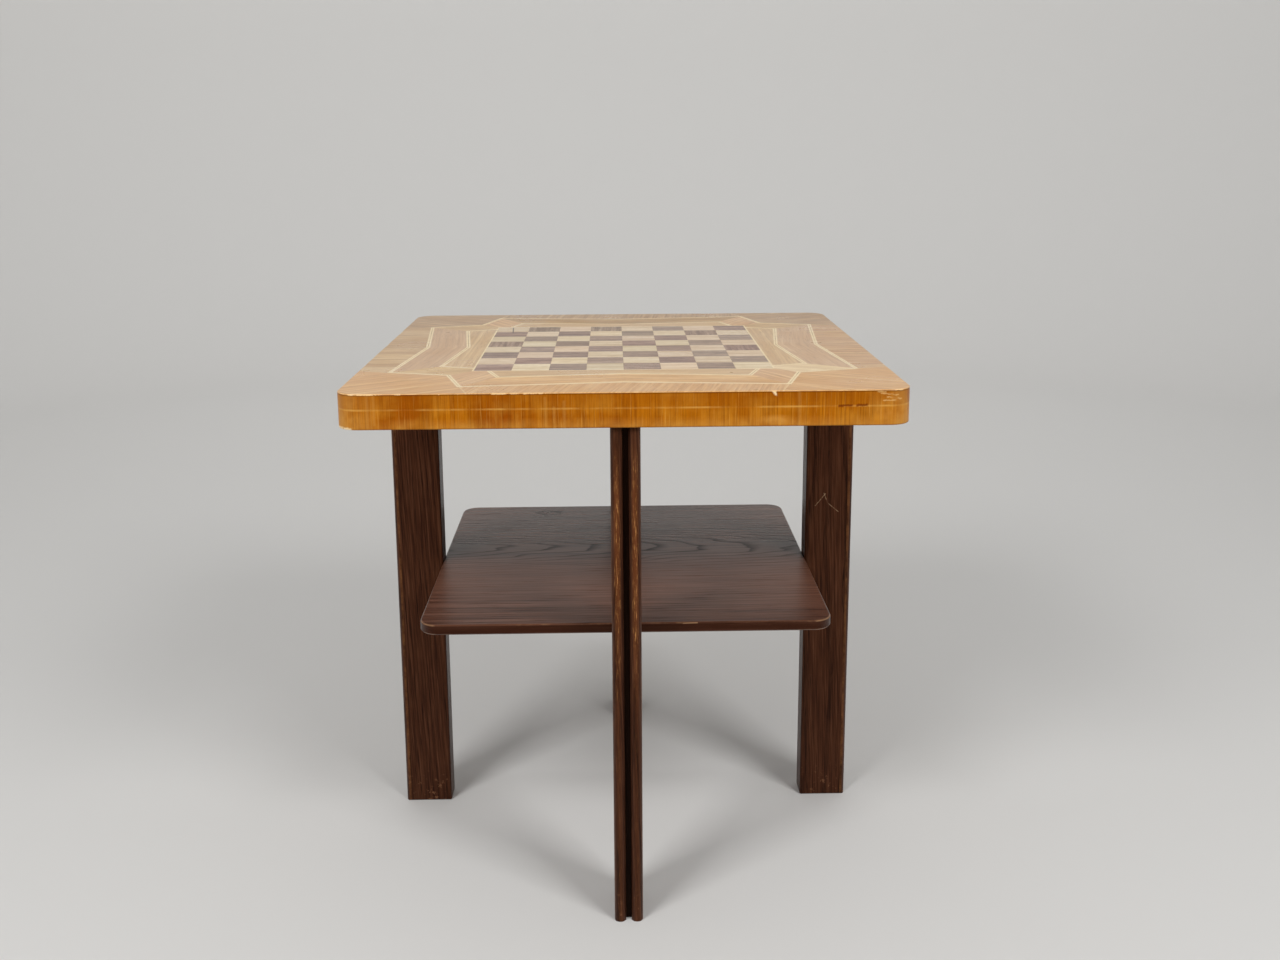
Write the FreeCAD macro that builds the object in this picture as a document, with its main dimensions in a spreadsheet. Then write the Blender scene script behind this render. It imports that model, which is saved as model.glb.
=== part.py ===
"""Square occasional table with an inlaid chessboard, four reeded slab legs and a lower shelf.

Millimetres. +Z is up, the origin is on the floor under the middle of the table, and the front is -Y.
Pieces that repeat on the four sides are drawn once, facing +X, and turned about the Z axis.
"""
import FreeCAD, Part
import math
import os
import Sketcher

doc = FreeCAD.newDocument("ChessTable")

# Driving dimensions

SIZES = [
    ("table_height", "612", "floor to the face of the board"),
    ("top_width", "600", "side of the square top, over its edge veneer"),
    ("top_corner_radius", "24", "rounded corners of the top in plan"),
    ("face_veneer", "1", "thickness of every marquetry veneer"),
    ("edge_veneer", "1", "thickness of the veneer round the edge"),
    ("core_thickness", "16", "board that carries the marquetry"),
    ("rail_height", "21", "built-up edge under the rim of the core board"),
    ("square_size", "42.4", "side of a chess square"),
    ("glue_line", "0.1", "hairline between veneers that are cut side by side"),
    ("border_width", "2", "pale line round the board"),
    ("string_width", "5", "pale strings of the two inlaid figures"),
    ("inner_margin", "22.4", "border to the inner figure, at the middle of a side"),
    ("inner_sag", "16", "inner figure: middle of a side inwards of its ends"),
    ("inner_corner", "32.6", "inner figure: end of a side, back from the border's corner"),
    ("return_corner", "19.6", "inner figure: string meets the border, back from the border's corner"),
    ("band_width", "51", "inner figure to outer figure, at the middle of a side"),
    ("outer_sag", "18", "outer figure: middle of a side inwards of its ends"),
    ("outer_margin", "37", "outer figure to the edge of the top, at the ends of a side"),
    ("notch_gap", "23.4", "outer figure: notch beyond the border's corner, along either axis"),
    ("notch_run", "20", "outer figure: end of a side, back from the notch"),
    ("leg_thickness", "32", "leg across its reeded edge"),
    ("leg_width", "60", "leg from its inner edge to the crest of its beads"),
    ("leg_setback", "6", "top overhangs the crest of the beads"),
    ("bead_width", "13", "each bead of the reeded edge"),
    ("bead_rise", "5", "height of a bead above its spring line"),
    ("groove_depth", "4", "groove between the beads, below their spring line"),
    ("leg_arris", "1.5", "flat on the leg's inner corners"),
    ("foot_bevel", "1.2", "worn arrises of the foot"),
    ("shelf_height", "334", "floor to the upper face of the shelf"),
    ("shelf_thickness", "12", "shelf board"),
    ("shelf_corner_radius", "22", "rounded corners of the shelf in plan"),
    ("shelf_arris", "1.5", "eased arrises of the shelf"),
    ("cross_thickness", "22", "cross rails under the core board"),
    ("cross_depth", "62", "cross rails, core board to lower edge"),
    ("tenon_thickness", "10", "tenon on a cross rail"),
    ("tenon_length", "24", "tenon into the leg"),
    ("tenon_shoulder", "7", "shoulder above and below a tenon"),
    ("joint_clearance", "0.1", "room round tenons, dowels and screws, and in the halved joint"),
    ("overrun", "2", "cuts that run out of a piece pass its face by this much"),
    ("dowel_diameter", "8", "dowels in the leg tops"),
    ("dowel_spread", "18", "distance between the two dowels of a leg top"),
    ("dowel_rail_depth", "15", "leg dowel into the edge rail"),
    ("dowel_leg_depth", "25", "leg dowel into the leg"),
    ("pin_diameter", "6", "dowels of the shelf"),
    ("pin_spread", "16", "distance between the two shelf dowels of a leg"),
    ("pin_shelf_depth", "25", "shelf dowel into the shelf"),
    ("pin_leg_depth", "20", "shelf dowel into the leg"),
    ("block_side", "40", "corner block, along each cross rail"),
    ("block_height", "24", "corner block, down from the core board"),
    ("screw_diameter", "4", "shank of a block screw"),
    ("screw_head_diameter", "8", "round head of a block screw"),
    ("screw_head_height", "3", "round head of a block screw"),
    ("screw_bite", "11", "screw into the core board"),
]
SQUARES_PER_SIDE = 8
SIDES = 4
CELL_SQUARES = 2
CELLS_PER_SIDE = SQUARES_PER_SIDE // CELL_SQUARES
FULL_TURN = 360

# Places worked out from the driving dimensions

PLACES = [
    ("half_top", "top_width / 2"),
    ("core_half", "half_top - edge_veneer"),
    ("core_corner_radius", "top_corner_radius - edge_veneer"),
    ("top_straight", "half_top - top_corner_radius"),
    ("veneer_level", "table_height - face_veneer"),
    ("core_level", "veneer_level - core_thickness"),
    ("rail_level", "core_level - rail_height"),
    ("edge_height", "core_thickness + rail_height"),
    ("leg_outer", "half_top - leg_setback"),
    ("leg_inner", "leg_outer - leg_width"),
    ("leg_middle", "leg_inner + leg_width / 2"),
    # marquetry drawn from the board outwards, and its drawing fitted to the top
    ("drawn_board", "square_size * %d + border_width" % (SQUARES_PER_SIDE // 2)),
    ("drawn_half", "drawn_board + inner_margin + band_width + outer_sag + outer_margin"),
    ("drawing_fit", "half_top / drawn_half"),
    ("square_pitch", "square_size * drawing_fit"),
    ("half_board", "square_pitch * %d" % (SQUARES_PER_SIDE // 2)),
    ("board_edge", "drawn_board * drawing_fit"),
    ("inner_dip", "board_edge + inner_margin * drawing_fit"),
    ("inner_reach", "inner_dip + inner_sag * drawing_fit"),
    ("inner_run", "board_edge - inner_corner * drawing_fit"),
    ("return_run", "board_edge - return_corner * drawing_fit"),
    ("outer_dip", "inner_dip + band_width * drawing_fit"),
    ("outer_reach", "outer_dip + outer_sag * drawing_fit"),
    ("notch_reach", "board_edge + notch_gap * drawing_fit"),
    ("outer_run", "notch_reach - notch_run * drawing_fit"),
    # board
    ("half_joint", "glue_line / 2"),
    ("cell_pitch", "square_pitch * %d" % CELL_SQUARES),
    ("square_far", "square_pitch - half_joint"),
    ("next_square", "square_pitch + half_joint"),
    ("next_far", "cell_pitch - half_joint"),
    ("border_start", "half_board + half_joint"),
    ("border_end", "half_board - half_joint"),
    # outer figure: directions square to its side and to its notch, and the offsets of its string
    ("half_string", "string_width / 2"),
    ("side_length", "sqrt((outer_reach - outer_dip) ^ 2 + outer_run ^ 2)"),
    ("side_square_x", "outer_run / side_length"),
    ("side_square_y", "(outer_dip - outer_reach) / side_length"),
    ("notch_length", "sqrt((outer_reach - notch_reach) ^ 2 + (notch_reach - outer_run) ^ 2)"),
    ("notch_square_x", "(notch_reach - outer_run) / notch_length"),
    ("notch_square_y", "(outer_reach - notch_reach) / notch_length"),
    ("outer_turn", "side_square_x * notch_square_y - side_square_y * notch_square_x"),
    ("outer_shift_x", "half_string * (notch_square_y - side_square_y) / outer_turn"),
    ("outer_shift_y", "half_string * (side_square_x - notch_square_x) / outer_turn"),
    ("outer_end_out", "outer_reach + outer_shift_x"),
    ("outer_end_in", "outer_reach - outer_shift_x"),
    ("outer_run_out", "outer_run + outer_shift_y"),
    ("outer_run_in", "outer_run - outer_shift_y"),
    ("outer_dip_out", "outer_dip + half_string / side_square_x"),
    ("outer_dip_in", "outer_dip - half_string / side_square_x"),
    ("notch_shift", "half_string / (notch_square_x + notch_square_y)"),
    ("notch_out", "notch_reach + notch_shift"),
    ("notch_in", "notch_reach - notch_shift"),
    ("field_joint", "outer_run - (half_top - outer_reach) * notch_square_x / notch_square_y"),
    # inner figure, the same way
    ("inner_length", "sqrt((inner_reach - inner_dip) ^ 2 + inner_run ^ 2)"),
    ("inner_square_x", "inner_run / inner_length"),
    ("inner_square_y", "(inner_dip - inner_reach) / inner_length"),
    ("return_length", "sqrt((inner_reach - board_edge) ^ 2 + (return_run - inner_run) ^ 2)"),
    ("return_square_x", "(return_run - inner_run) / return_length"),
    ("return_square_y", "(inner_reach - board_edge) / return_length"),
    ("inner_turn", "inner_square_x * return_square_y - inner_square_y * return_square_x"),
    ("inner_shift_x", "half_string * (return_square_y - inner_square_y) / inner_turn"),
    ("inner_shift_y", "half_string * (inner_square_x - return_square_x) / inner_turn"),
    ("inner_end_out", "inner_reach + inner_shift_x"),
    ("inner_end_in", "inner_reach - inner_shift_x"),
    ("inner_run_out", "inner_run + inner_shift_y"),
    ("inner_run_in", "inner_run - inner_shift_y"),
    ("inner_dip_out", "inner_dip + half_string / inner_square_x"),
    ("inner_dip_in", "inner_dip - half_string / inner_square_x"),
    ("return_out", "return_run + half_string / return_square_y"),
    ("return_in", "return_run - half_string / return_square_y"),
    # seam in the middle of a band
    ("seam_out", "outer_dip_in - half_joint * side_square_y / side_square_x"),
    ("seam_in", "inner_dip_out - half_joint * inner_square_y / inner_square_x"),
    # leg profile
    ("half_leg", "leg_thickness / 2"),
    ("half_groove", "half_leg - bead_width"),
    ("bead_spring", "leg_outer - bead_rise"),
    ("bead_radius", "(bead_width ^ 2 / 4 + bead_rise ^ 2) / (2 * bead_rise)"),
    ("groove_floor", "bead_spring - groove_depth"),
    ("leg_flat_start", "leg_inner + leg_arris"),
    ("leg_flat_end", "half_leg - leg_arris"),
    # joints between rails, legs and shelf
    ("cross_level", "core_level - cross_depth"),
    ("halving_level", "core_level - cross_depth / 2"),
    ("half_cross", "cross_thickness / 2"),
    ("slot_half", "half_cross + joint_clearance"),
    ("slot_length", "cross_thickness + 2 * overrun"),
    ("slot_above", "core_level + overrun"),
    ("slot_below", "cross_level - overrun"),
    ("tenon_tip", "leg_inner + tenon_length"),
    ("tenon_top", "rail_level - tenon_shoulder"),
    ("tenon_foot", "cross_level + tenon_shoulder"),
    ("mortise_depth", "tenon_length + joint_clearance"),
    ("mortise_top", "tenon_top + joint_clearance"),
    ("mortise_foot", "tenon_foot - joint_clearance"),
    ("half_mortise", "tenon_thickness / 2 + joint_clearance"),
    ("dowel_side", "dowel_spread / 2"),
    ("dowel_radius", "dowel_diameter / 2"),
    ("dowel_hole", "dowel_radius + joint_clearance"),
    ("dowel_foot", "rail_level - dowel_leg_depth"),
    ("dowel_length", "dowel_leg_depth + dowel_rail_depth"),
    ("dowel_rail_hole", "dowel_rail_depth + joint_clearance"),
    ("dowel_leg_hole", "dowel_leg_depth + joint_clearance"),
    ("shelf_level", "shelf_height - shelf_thickness"),
    ("half_shelf", "shelf_thickness / 2"),
    ("shelf_straight", "leg_inner - shelf_corner_radius"),
    ("pin_level", "shelf_height - shelf_thickness / 2"),
    ("pin_side", "pin_spread / 2"),
    ("pin_radius", "pin_diameter / 2"),
    ("pin_hole", "pin_radius + joint_clearance"),
    ("pin_start", "leg_inner - pin_shelf_depth"),
    ("pin_length", "pin_shelf_depth + pin_leg_depth"),
    ("pin_shelf_hole", "pin_shelf_depth + joint_clearance"),
    ("pin_leg_hole", "pin_leg_depth + joint_clearance"),
    # corner blocks and their screws
    ("block_far", "half_cross + block_side"),
    ("block_level", "core_level - block_height"),
    ("screw_place", "half_cross + block_side / 2"),
    ("screw_radius", "screw_diameter / 2"),
    ("screw_hole", "screw_radius + joint_clearance"),
    ("screw_head_radius", "screw_head_diameter / 2"),
    ("screw_head_level", "block_level - screw_head_height"),
    ("screw_length", "block_height + screw_bite"),
    ("screw_pilot", "screw_bite + joint_clearance"),
]

sizes = doc.addObject("Spreadsheet::Sheet", "Sizes")
for row, (name, number, note) in enumerate(SIZES, start=1):
    sizes.set("A%d" % row, name)
    sizes.set("B%d" % row, number)
    sizes.setAlias("B%d" % row, name)
    sizes.set("C%d" % row, note)
for row, (name, formula) in enumerate(PLACES, start=len(SIZES) + 1):
    sizes.set("A%d" % row, name)
    sizes.set("B%d" % row, "=" + formula)
    sizes.setAlias("B%d" % row, name)
doc.recompute()


# Sketches and features that several pieces use

def place_of(name):
    """Number behind a size name; a leading minus turns it round."""
    if name == "0":
        return 0.0
    if name.startswith("-"):
        return -float(sizes.get(name[1:]))
    return float(sizes.get(name))


def bind(piece, setting, name):
    """Tie one setting of a piece to a named size."""
    sign = "-" if name.startswith("-") else ""
    piece.setExpression(setting, sign + "Sizes." + name.lstrip("-"))


def origin_part(body, role):
    """Plane or axis of a body's own origin."""
    return [feature for feature in body.Origin.OriginFeatures if feature.Role == role][0]


def new_body(label, level=None, turn=0):
    """Body at a height above the floor, turned by quarter turns about the table's middle."""
    body = doc.addObject("PartDesign::Body", label)
    angle = turn * FULL_TURN / SIDES
    body.Placement = FreeCAD.Placement(FreeCAD.Vector(), FreeCAD.Rotation(FreeCAD.Vector(0, 0, 1), angle))
    if level:
        bind(body, "Placement.Base.z", level)
    return body


def new_sketch(body, name, plane="XY_Plane", lift=None):
    """Empty sketch on one of the body's own planes, lifted off it where a size is given."""
    sketch = body.newObject("Sketcher::SketchObject", name)
    sketch.AttachmentSupport = [(origin_part(body, plane), "")]
    sketch.MapMode = "FlatFace"
    if lift:
        bind(sketch, "AttachmentOffset.Base.z", lift)
    return sketch


def hold_point(sketch, geometry, end, corner):
    """Fix one point of a sketch by its named distances from the origin."""
    axes = (("DistanceX", -2), ("DistanceY", -1))
    for name, (kind, zero_axis) in zip(corner, axes):
        distance = abs(place_of(name))
        if name == "0":
            sketch.addConstraint(Sketcher.Constraint("PointOnObject", geometry, end, zero_axis))
            continue
        if name.startswith("-"):
            constraint = Sketcher.Constraint(kind, geometry, end, -1, 1, distance)
        else:
            constraint = Sketcher.Constraint(kind, -1, 1, geometry, end, distance)
        number = sketch.addConstraint(constraint)
        bind(sketch, "Constraints[%d]" % number, name.lstrip("-"))


def arc_between(start, end, radius):
    """Short arc from start to end; it swells to the right, or to the left for a negative radius."""
    chord = end - start
    middle = (start + end) / 2
    reach = math.sqrt(radius ** 2 - (chord.Length / 2) ** 2)
    inward = FreeCAD.Vector(-chord.y, chord.x, 0).normalize() * reach
    centre = middle + inward if radius > 0 else middle - inward
    first, last = (start, end) if radius > 0 else (end, start)
    angles = [math.atan2(point.y - centre.y, point.x - centre.x) for point in (first, last)]
    circle = Part.Circle(centre, FreeCAD.Vector(0, 0, 1), abs(radius))
    return Part.ArcOfCircle(circle, angles[0], angles[1])


def add_outline(sketch, corners, arcs=None):
    """Closed outline through named corners, anticlockwise; arcs maps a corner's number to the radius
    of the arc that leaves it."""
    arcs = arcs or {}
    points = [FreeCAD.Vector(place_of(x), place_of(y), 0) for x, y in corners]
    edges = []
    for number, start in enumerate(points):
        end = points[(number + 1) % len(points)]
        radius = place_of(arcs[number]) if number in arcs else 0.0
        shape = arc_between(start, end, radius) if radius else Part.LineSegment(start, end)
        ends = (2, 1) if radius < 0 else (1, 2)
        edges.append((sketch.addGeometry(shape), ends))
    for number, (geometry, ends) in enumerate(edges):
        following, next_ends = edges[(number + 1) % len(edges)]
        sketch.addConstraint(Sketcher.Constraint("Coincident", geometry, ends[1], following, next_ends[0]))
        hold_point(sketch, geometry, ends[0], corners[number])
        if number in arcs:
            name = arcs[number].lstrip("-")
            held = sketch.addConstraint(Sketcher.Constraint("Radius", geometry, place_of(name)))
            bind(sketch, "Constraints[%d]" % held, name)


def add_circle(sketch, centre, radius):
    """Circle at a named place."""
    point = FreeCAD.Vector(place_of(centre[0]), place_of(centre[1]), 0)
    geometry = sketch.addGeometry(Part.Circle(point, FreeCAD.Vector(0, 0, 1), place_of(radius)))
    hold_point(sketch, geometry, 3, centre)
    held = sketch.addConstraint(Sketcher.Constraint("Radius", geometry, place_of(radius)))
    bind(sketch, "Constraints[%d]" % held, radius)


def add_pad(body, sketch, length, symmetric=False):
    """Solid raised from a sketch."""
    pad = body.newObject("PartDesign::Pad", sketch.Name + "_pad")
    pad.Profile = sketch
    pad.SideType = "Symmetric" if symmetric else "One side"
    bind(pad, "Length", length)
    doc.recompute()
    return pad


def add_pocket(body, sketch, depth, towards_normal=False, symmetric=False):
    """Hollow cut from a sketch; it has to take material away."""
    before = body.Shape.Volume
    pocket = body.newObject("PartDesign::Pocket", sketch.Name + "_pocket")
    pocket.Profile = sketch
    pocket.SideType = "Symmetric" if symmetric else "One side"
    pocket.Reversed = towards_normal
    bind(pocket, "Length", depth)
    doc.recompute()
    if body.Shape.Volume >= before:
        raise RuntimeError("pocket cuts nothing: " + pocket.Label)
    return pocket


def repeat_round(body, *features):
    """Repeat features on the four sides."""
    ring = body.newObject("PartDesign::PolarPattern", features[0].Name + "_ring")
    ring.Originals = list(features)
    ring.Axis = (origin_part(body, "Z_Axis"), [""])
    ring.Angle = FULL_TURN
    ring.Occurrences = SIDES
    body.Tip = ring
    doc.recompute()


def end_faces(shape):
    """Names of a solid's lowest and highest faces."""
    heights = [face.CenterOfMass.z for face in shape.Faces]
    lowest = heights.index(min(heights)) + 1
    highest = heights.index(max(heights)) + 1
    return "Face%d" % lowest, "Face%d" % highest


def add_rectangle(sketch, low, high):
    """Rectangle between two named corners."""
    add_outline(sketch, [low, (high[0], low[1]), high, (low[0], high[1])])


def add_rounded_square(sketch, half, straight, radius):
    """Square with rounded corners about the origin: half its side, half its straight edge, radius."""
    add_outline(sketch, [
        ("-" + straight, "-" + half), (straight, "-" + half),
        (half, "-" + straight), (half, straight),
        (straight, half), ("-" + straight, half),
        ("-" + half, straight), ("-" + half, "-" + straight)],
        arcs={1: radius, 3: radius, 5: radius, 7: radius})


# Legs: oak slabs, reeded on the outer edge, mortised for a cross rail and bored for dowels

SIDE_NAMES = ["right", "back", "left", "front"]
CORNER_NAMES = ["back_right", "back_left", "front_left", "front_right"]
pieces = []


def straight_foot_edges(slab):
    """Edges of a leg's foot along its two sides and its inner edge, short of the beads."""
    sole = slab.getElement(end_faces(slab)[0])
    found = []
    for number, edge in enumerate(slab.Edges, start=1):
        on_sole = any(edge.isSame(other) for other in sole.Edges)
        clear_of_groove = edge.BoundBox.XMin < place_of("groove_floor")
        if on_sole and clear_of_groove:
            found.append("Edge%d" % number)
    return found


def make_leg(label, turn):
    leg = new_body(label, turn=turn)
    profile = new_sketch(leg, label + "_profile")
    add_outline(profile, [
        ("leg_flat_start", "-half_leg"), ("bead_spring", "-half_leg"),
        ("bead_spring", "-half_groove"), ("groove_floor", "-half_groove"),
        ("groove_floor", "half_groove"), ("bead_spring", "half_groove"),
        ("bead_spring", "half_leg"), ("leg_flat_start", "half_leg"),
        ("leg_inner", "leg_flat_end"), ("leg_inner", "-leg_flat_end")],
        arcs={1: "bead_radius", 5: "bead_radius"})
    slab = add_pad(leg, profile, "rail_level")
    foot = leg.newObject("PartDesign::Chamfer", label + "_foot")
    foot.Base = (slab, straight_foot_edges(slab.Shape))
    bind(foot, "Size", "foot_bevel")
    doc.recompute()
    mortise = new_sketch(leg, label + "_mortise", "YZ_Plane", lift="leg_inner")
    add_rectangle(mortise, ("-half_mortise", "mortise_foot"), ("half_mortise", "mortise_top"))
    add_pocket(leg, mortise, "mortise_depth", towards_normal=True)
    shelf_holes = new_sketch(leg, label + "_shelf_holes", "YZ_Plane", lift="leg_inner")
    add_circle(shelf_holes, ("pin_side", "pin_level"), "pin_hole")
    add_circle(shelf_holes, ("-pin_side", "pin_level"), "pin_hole")
    add_pocket(leg, shelf_holes, "pin_leg_hole", towards_normal=True)
    top_holes = new_sketch(leg, label + "_top_holes", lift="rail_level")
    add_circle(top_holes, ("leg_middle", "dowel_side"), "dowel_hole")
    add_circle(top_holes, ("leg_middle", "-dowel_side"), "dowel_hole")
    add_pocket(leg, top_holes, "dowel_leg_hole")
    pieces.append(leg)


for turn, side in enumerate(SIDE_NAMES):
    make_leg("leg_" + side, turn)


# Shelf: oak board between the legs, dowelled to their inner edges

shelf = new_body("shelf", level="shelf_level")
shelf_outline = new_sketch(shelf, "shelf_outline")
add_rounded_square(shelf_outline, "leg_inner", "shelf_straight", "shelf_corner_radius")
shelf_board = add_pad(shelf, shelf_outline, "shelf_thickness")
shelf_edges = shelf.newObject("PartDesign::Chamfer", "shelf_edges")
shelf_edges.Base = (shelf_board, list(end_faces(shelf_board.Shape)))
bind(shelf_edges, "Size", "shelf_arris")
doc.recompute()
shelf_holes = new_sketch(shelf, "shelf_holes", "YZ_Plane", lift="leg_inner")
add_circle(shelf_holes, ("pin_side", "half_shelf"), "pin_hole")
add_circle(shelf_holes, ("-pin_side", "half_shelf"), "pin_hole")
repeat_round(shelf, add_pocket(shelf, shelf_holes, "pin_shelf_hole"))
pieces.append(shelf)

shelf_dowels = new_body("shelf_dowels")
shelf_dowel_ends = new_sketch(shelf_dowels, "shelf_dowel_ends", "YZ_Plane", lift="pin_start")
add_circle(shelf_dowel_ends, ("pin_side", "pin_level"), "pin_radius")
add_circle(shelf_dowel_ends, ("-pin_side", "pin_level"), "pin_radius")
repeat_round(shelf_dowels, add_pad(shelf_dowels, shelf_dowel_ends, "pin_length"))
pieces.append(shelf_dowels)


# Cross rails: halved together in the middle, tenoned into the legs

def make_cross_rail(label, turn, slot_low, slot_high):
    rail = new_body(label, turn=turn)
    face = new_sketch(rail, label + "_face", "XZ_Plane")
    add_rectangle(face, ("-leg_inner", "cross_level"), ("leg_inner", "core_level"))
    add_pad(rail, face, "cross_thickness", symmetric=True)
    tenons = new_sketch(rail, label + "_tenons", "XZ_Plane")
    add_rectangle(tenons, ("-tenon_tip", "tenon_foot"), ("tenon_tip", "tenon_top"))
    add_pad(rail, tenons, "tenon_thickness", symmetric=True)
    slot = new_sketch(rail, label + "_slot", "XZ_Plane")
    add_rectangle(slot, ("-slot_half", slot_low), ("slot_half", slot_high))
    add_pocket(rail, slot, "slot_length", symmetric=True)
    pieces.append(rail)


make_cross_rail("cross_rail_side_to_side", 0, "halving_level", "slot_above")
make_cross_rail("cross_rail_front_to_back", 1, "slot_below", "halving_level")


# Top carcass: core board, edge rails under its rim and the dowels that tie them to the legs

core = new_body("core_board", level="core_level")
core_outline = new_sketch(core, "core_outline")
add_rounded_square(core_outline, "core_half", "top_straight", "core_corner_radius")
add_pad(core, core_outline, "core_thickness")
pilot_holes = new_sketch(core, "pilot_holes")
add_circle(pilot_holes, ("screw_place", "screw_place"), "screw_hole")
repeat_round(core, add_pocket(core, pilot_holes, "screw_pilot", towards_normal=True))
pieces.append(core)


def make_edge_rail(label, turn, corners, arcs):
    rail = new_body(label, level="rail_level", turn=turn)
    plan = new_sketch(rail, label + "_plan")
    add_outline(plan, corners, arcs)
    add_pad(rail, plan, "rail_height")
    holes = new_sketch(rail, label + "_holes")
    add_circle(holes, ("leg_middle", "dowel_side"), "dowel_hole")
    add_circle(holes, ("leg_middle", "-dowel_side"), "dowel_hole")
    add_pocket(rail, holes, "dowel_rail_hole", towards_normal=True)
    pieces.append(rail)


LONG_RAIL = [
    ("leg_inner", "-core_half"), ("top_straight", "-core_half"),
    ("core_half", "-top_straight"), ("core_half", "top_straight"),
    ("top_straight", "core_half"), ("leg_inner", "core_half")]
SHORT_RAIL = [
    ("leg_inner", "-leg_inner"), ("core_half", "-leg_inner"),
    ("core_half", "leg_inner"), ("leg_inner", "leg_inner")]
RAIL_CORNERS = {1: "core_corner_radius", 3: "core_corner_radius"}
for turn, side in enumerate(SIDE_NAMES):
    if side in ("front", "back"):
        make_edge_rail("edge_rail_" + side, turn, LONG_RAIL, RAIL_CORNERS)
    else:
        make_edge_rail("edge_rail_" + side, turn, SHORT_RAIL, {})

leg_dowels = new_body("leg_dowels", level="dowel_foot")
leg_dowel_ends = new_sketch(leg_dowels, "leg_dowel_ends")
add_circle(leg_dowel_ends, ("leg_middle", "dowel_side"), "dowel_radius")
add_circle(leg_dowel_ends, ("leg_middle", "-dowel_side"), "dowel_radius")
repeat_round(leg_dowels, add_pad(leg_dowels, leg_dowel_ends, "dowel_length"))
pieces.append(leg_dowels)


# Corner blocks in the angles of the cross rails, each screwed up into the core board

blocks = new_body("corner_blocks", level="block_level")
block_plan = new_sketch(blocks, "block_plan")
add_rectangle(block_plan, ("half_cross", "half_cross"), ("block_far", "block_far"))
add_circle(block_plan, ("screw_place", "screw_place"), "screw_hole")
repeat_round(blocks, add_pad(blocks, block_plan, "block_height"))
pieces.append(blocks)

screws = new_body("block_screws")
screw_heads = new_sketch(screws, "screw_heads", lift="screw_head_level")
add_circle(screw_heads, ("screw_place", "screw_place"), "screw_head_radius")
head = add_pad(screws, screw_heads, "screw_head_height")
screw_shanks = new_sketch(screws, "screw_shanks", lift="block_level")
add_circle(screw_shanks, ("screw_place", "screw_place"), "screw_radius")
shank = add_pad(screws, screw_shanks, "screw_length")
repeat_round(screws, head, shank)
pieces.append(screws)


# Edge veneer: front and back strips bend round the corners, side strips fit between them

BENT_STRIP = [
    ("top_straight", "-half_top"), ("half_top", "-top_straight"),
    ("half_top", "top_straight"), ("top_straight", "half_top"),
    ("top_straight", "core_half"), ("core_half", "top_straight"),
    ("core_half", "-top_straight"), ("top_straight", "-core_half")]
BENDS = {0: "top_corner_radius", 2: "top_corner_radius", 4: "-core_corner_radius", 6: "-core_corner_radius"}
STRAIGHT_STRIP = [
    ("core_half", "-top_straight"), ("half_top", "-top_straight"),
    ("half_top", "top_straight"), ("core_half", "top_straight")]
for turn, side in enumerate(SIDE_NAMES):
    strip = new_body("edge_veneer_" + side, level="rail_level", turn=turn)
    strip_plan = new_sketch(strip, "edge_veneer_%s_plan" % side)
    if side in ("front", "back"):
        add_outline(strip_plan, BENT_STRIP, BENDS)
    else:
        add_outline(strip_plan, STRAIGHT_STRIP)
    add_pad(strip, strip_plan, "edge_height")
    pieces.append(strip)


# Marquetry: veneers cut to fit each other and glued to the core board

def make_veneer(label, turn, outlines, arcs=None, all_sides=False):
    veneer = new_body(label, level="veneer_level", turn=turn)
    plan = new_sketch(veneer, label + "_plan")
    for corners in outlines:
        add_outline(plan, corners, arcs)
    leaf = add_pad(veneer, plan, "face_veneer")
    if all_sides:
        repeat_round(veneer, leaf)
    pieces.append(veneer)


def square(low_x, low_y, high_x, high_y):
    return [(low_x, low_y), (high_x, low_y), (high_x, high_y), (low_x, high_y)]


def make_squares(label, outlines):
    """Half of the board: the squares of one cell, repeated over the board."""
    board = new_body(label, level="veneer_level")
    bind(board, "Placement.Base.x", "-half_board")
    bind(board, "Placement.Base.y", "-half_board")
    cell_plan = new_sketch(board, label + "_cell")
    for corners in outlines:
        add_outline(cell_plan, corners)
    cell = add_pad(board, cell_plan, "face_veneer")
    grid = board.newObject("PartDesign::MultiTransform", label + "_grid")
    grid.Originals = [cell]
    patterns = []
    for role in ("X_Axis", "Y_Axis"):
        pattern = board.newObject("PartDesign::LinearPattern", label + "_along_" + role[0])
        pattern.Direction = (origin_part(board, role), [""])
        pattern.Mode = "Spacing"
        pattern.Occurrences = CELLS_PER_SIDE
        bind(pattern, "Offset", "cell_pitch")
        patterns.append(pattern)
    grid.Transformations = patterns
    board.Tip = grid
    doc.recompute()
    pieces.append(board)


make_squares("dark_squares", [
    square("half_joint", "half_joint", "square_far", "square_far"),
    square("next_square", "next_square", "next_far", "next_far")])
make_squares("light_squares", [
    square("next_square", "half_joint", "next_far", "square_far"),
    square("half_joint", "next_square", "square_far", "next_far")])

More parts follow.
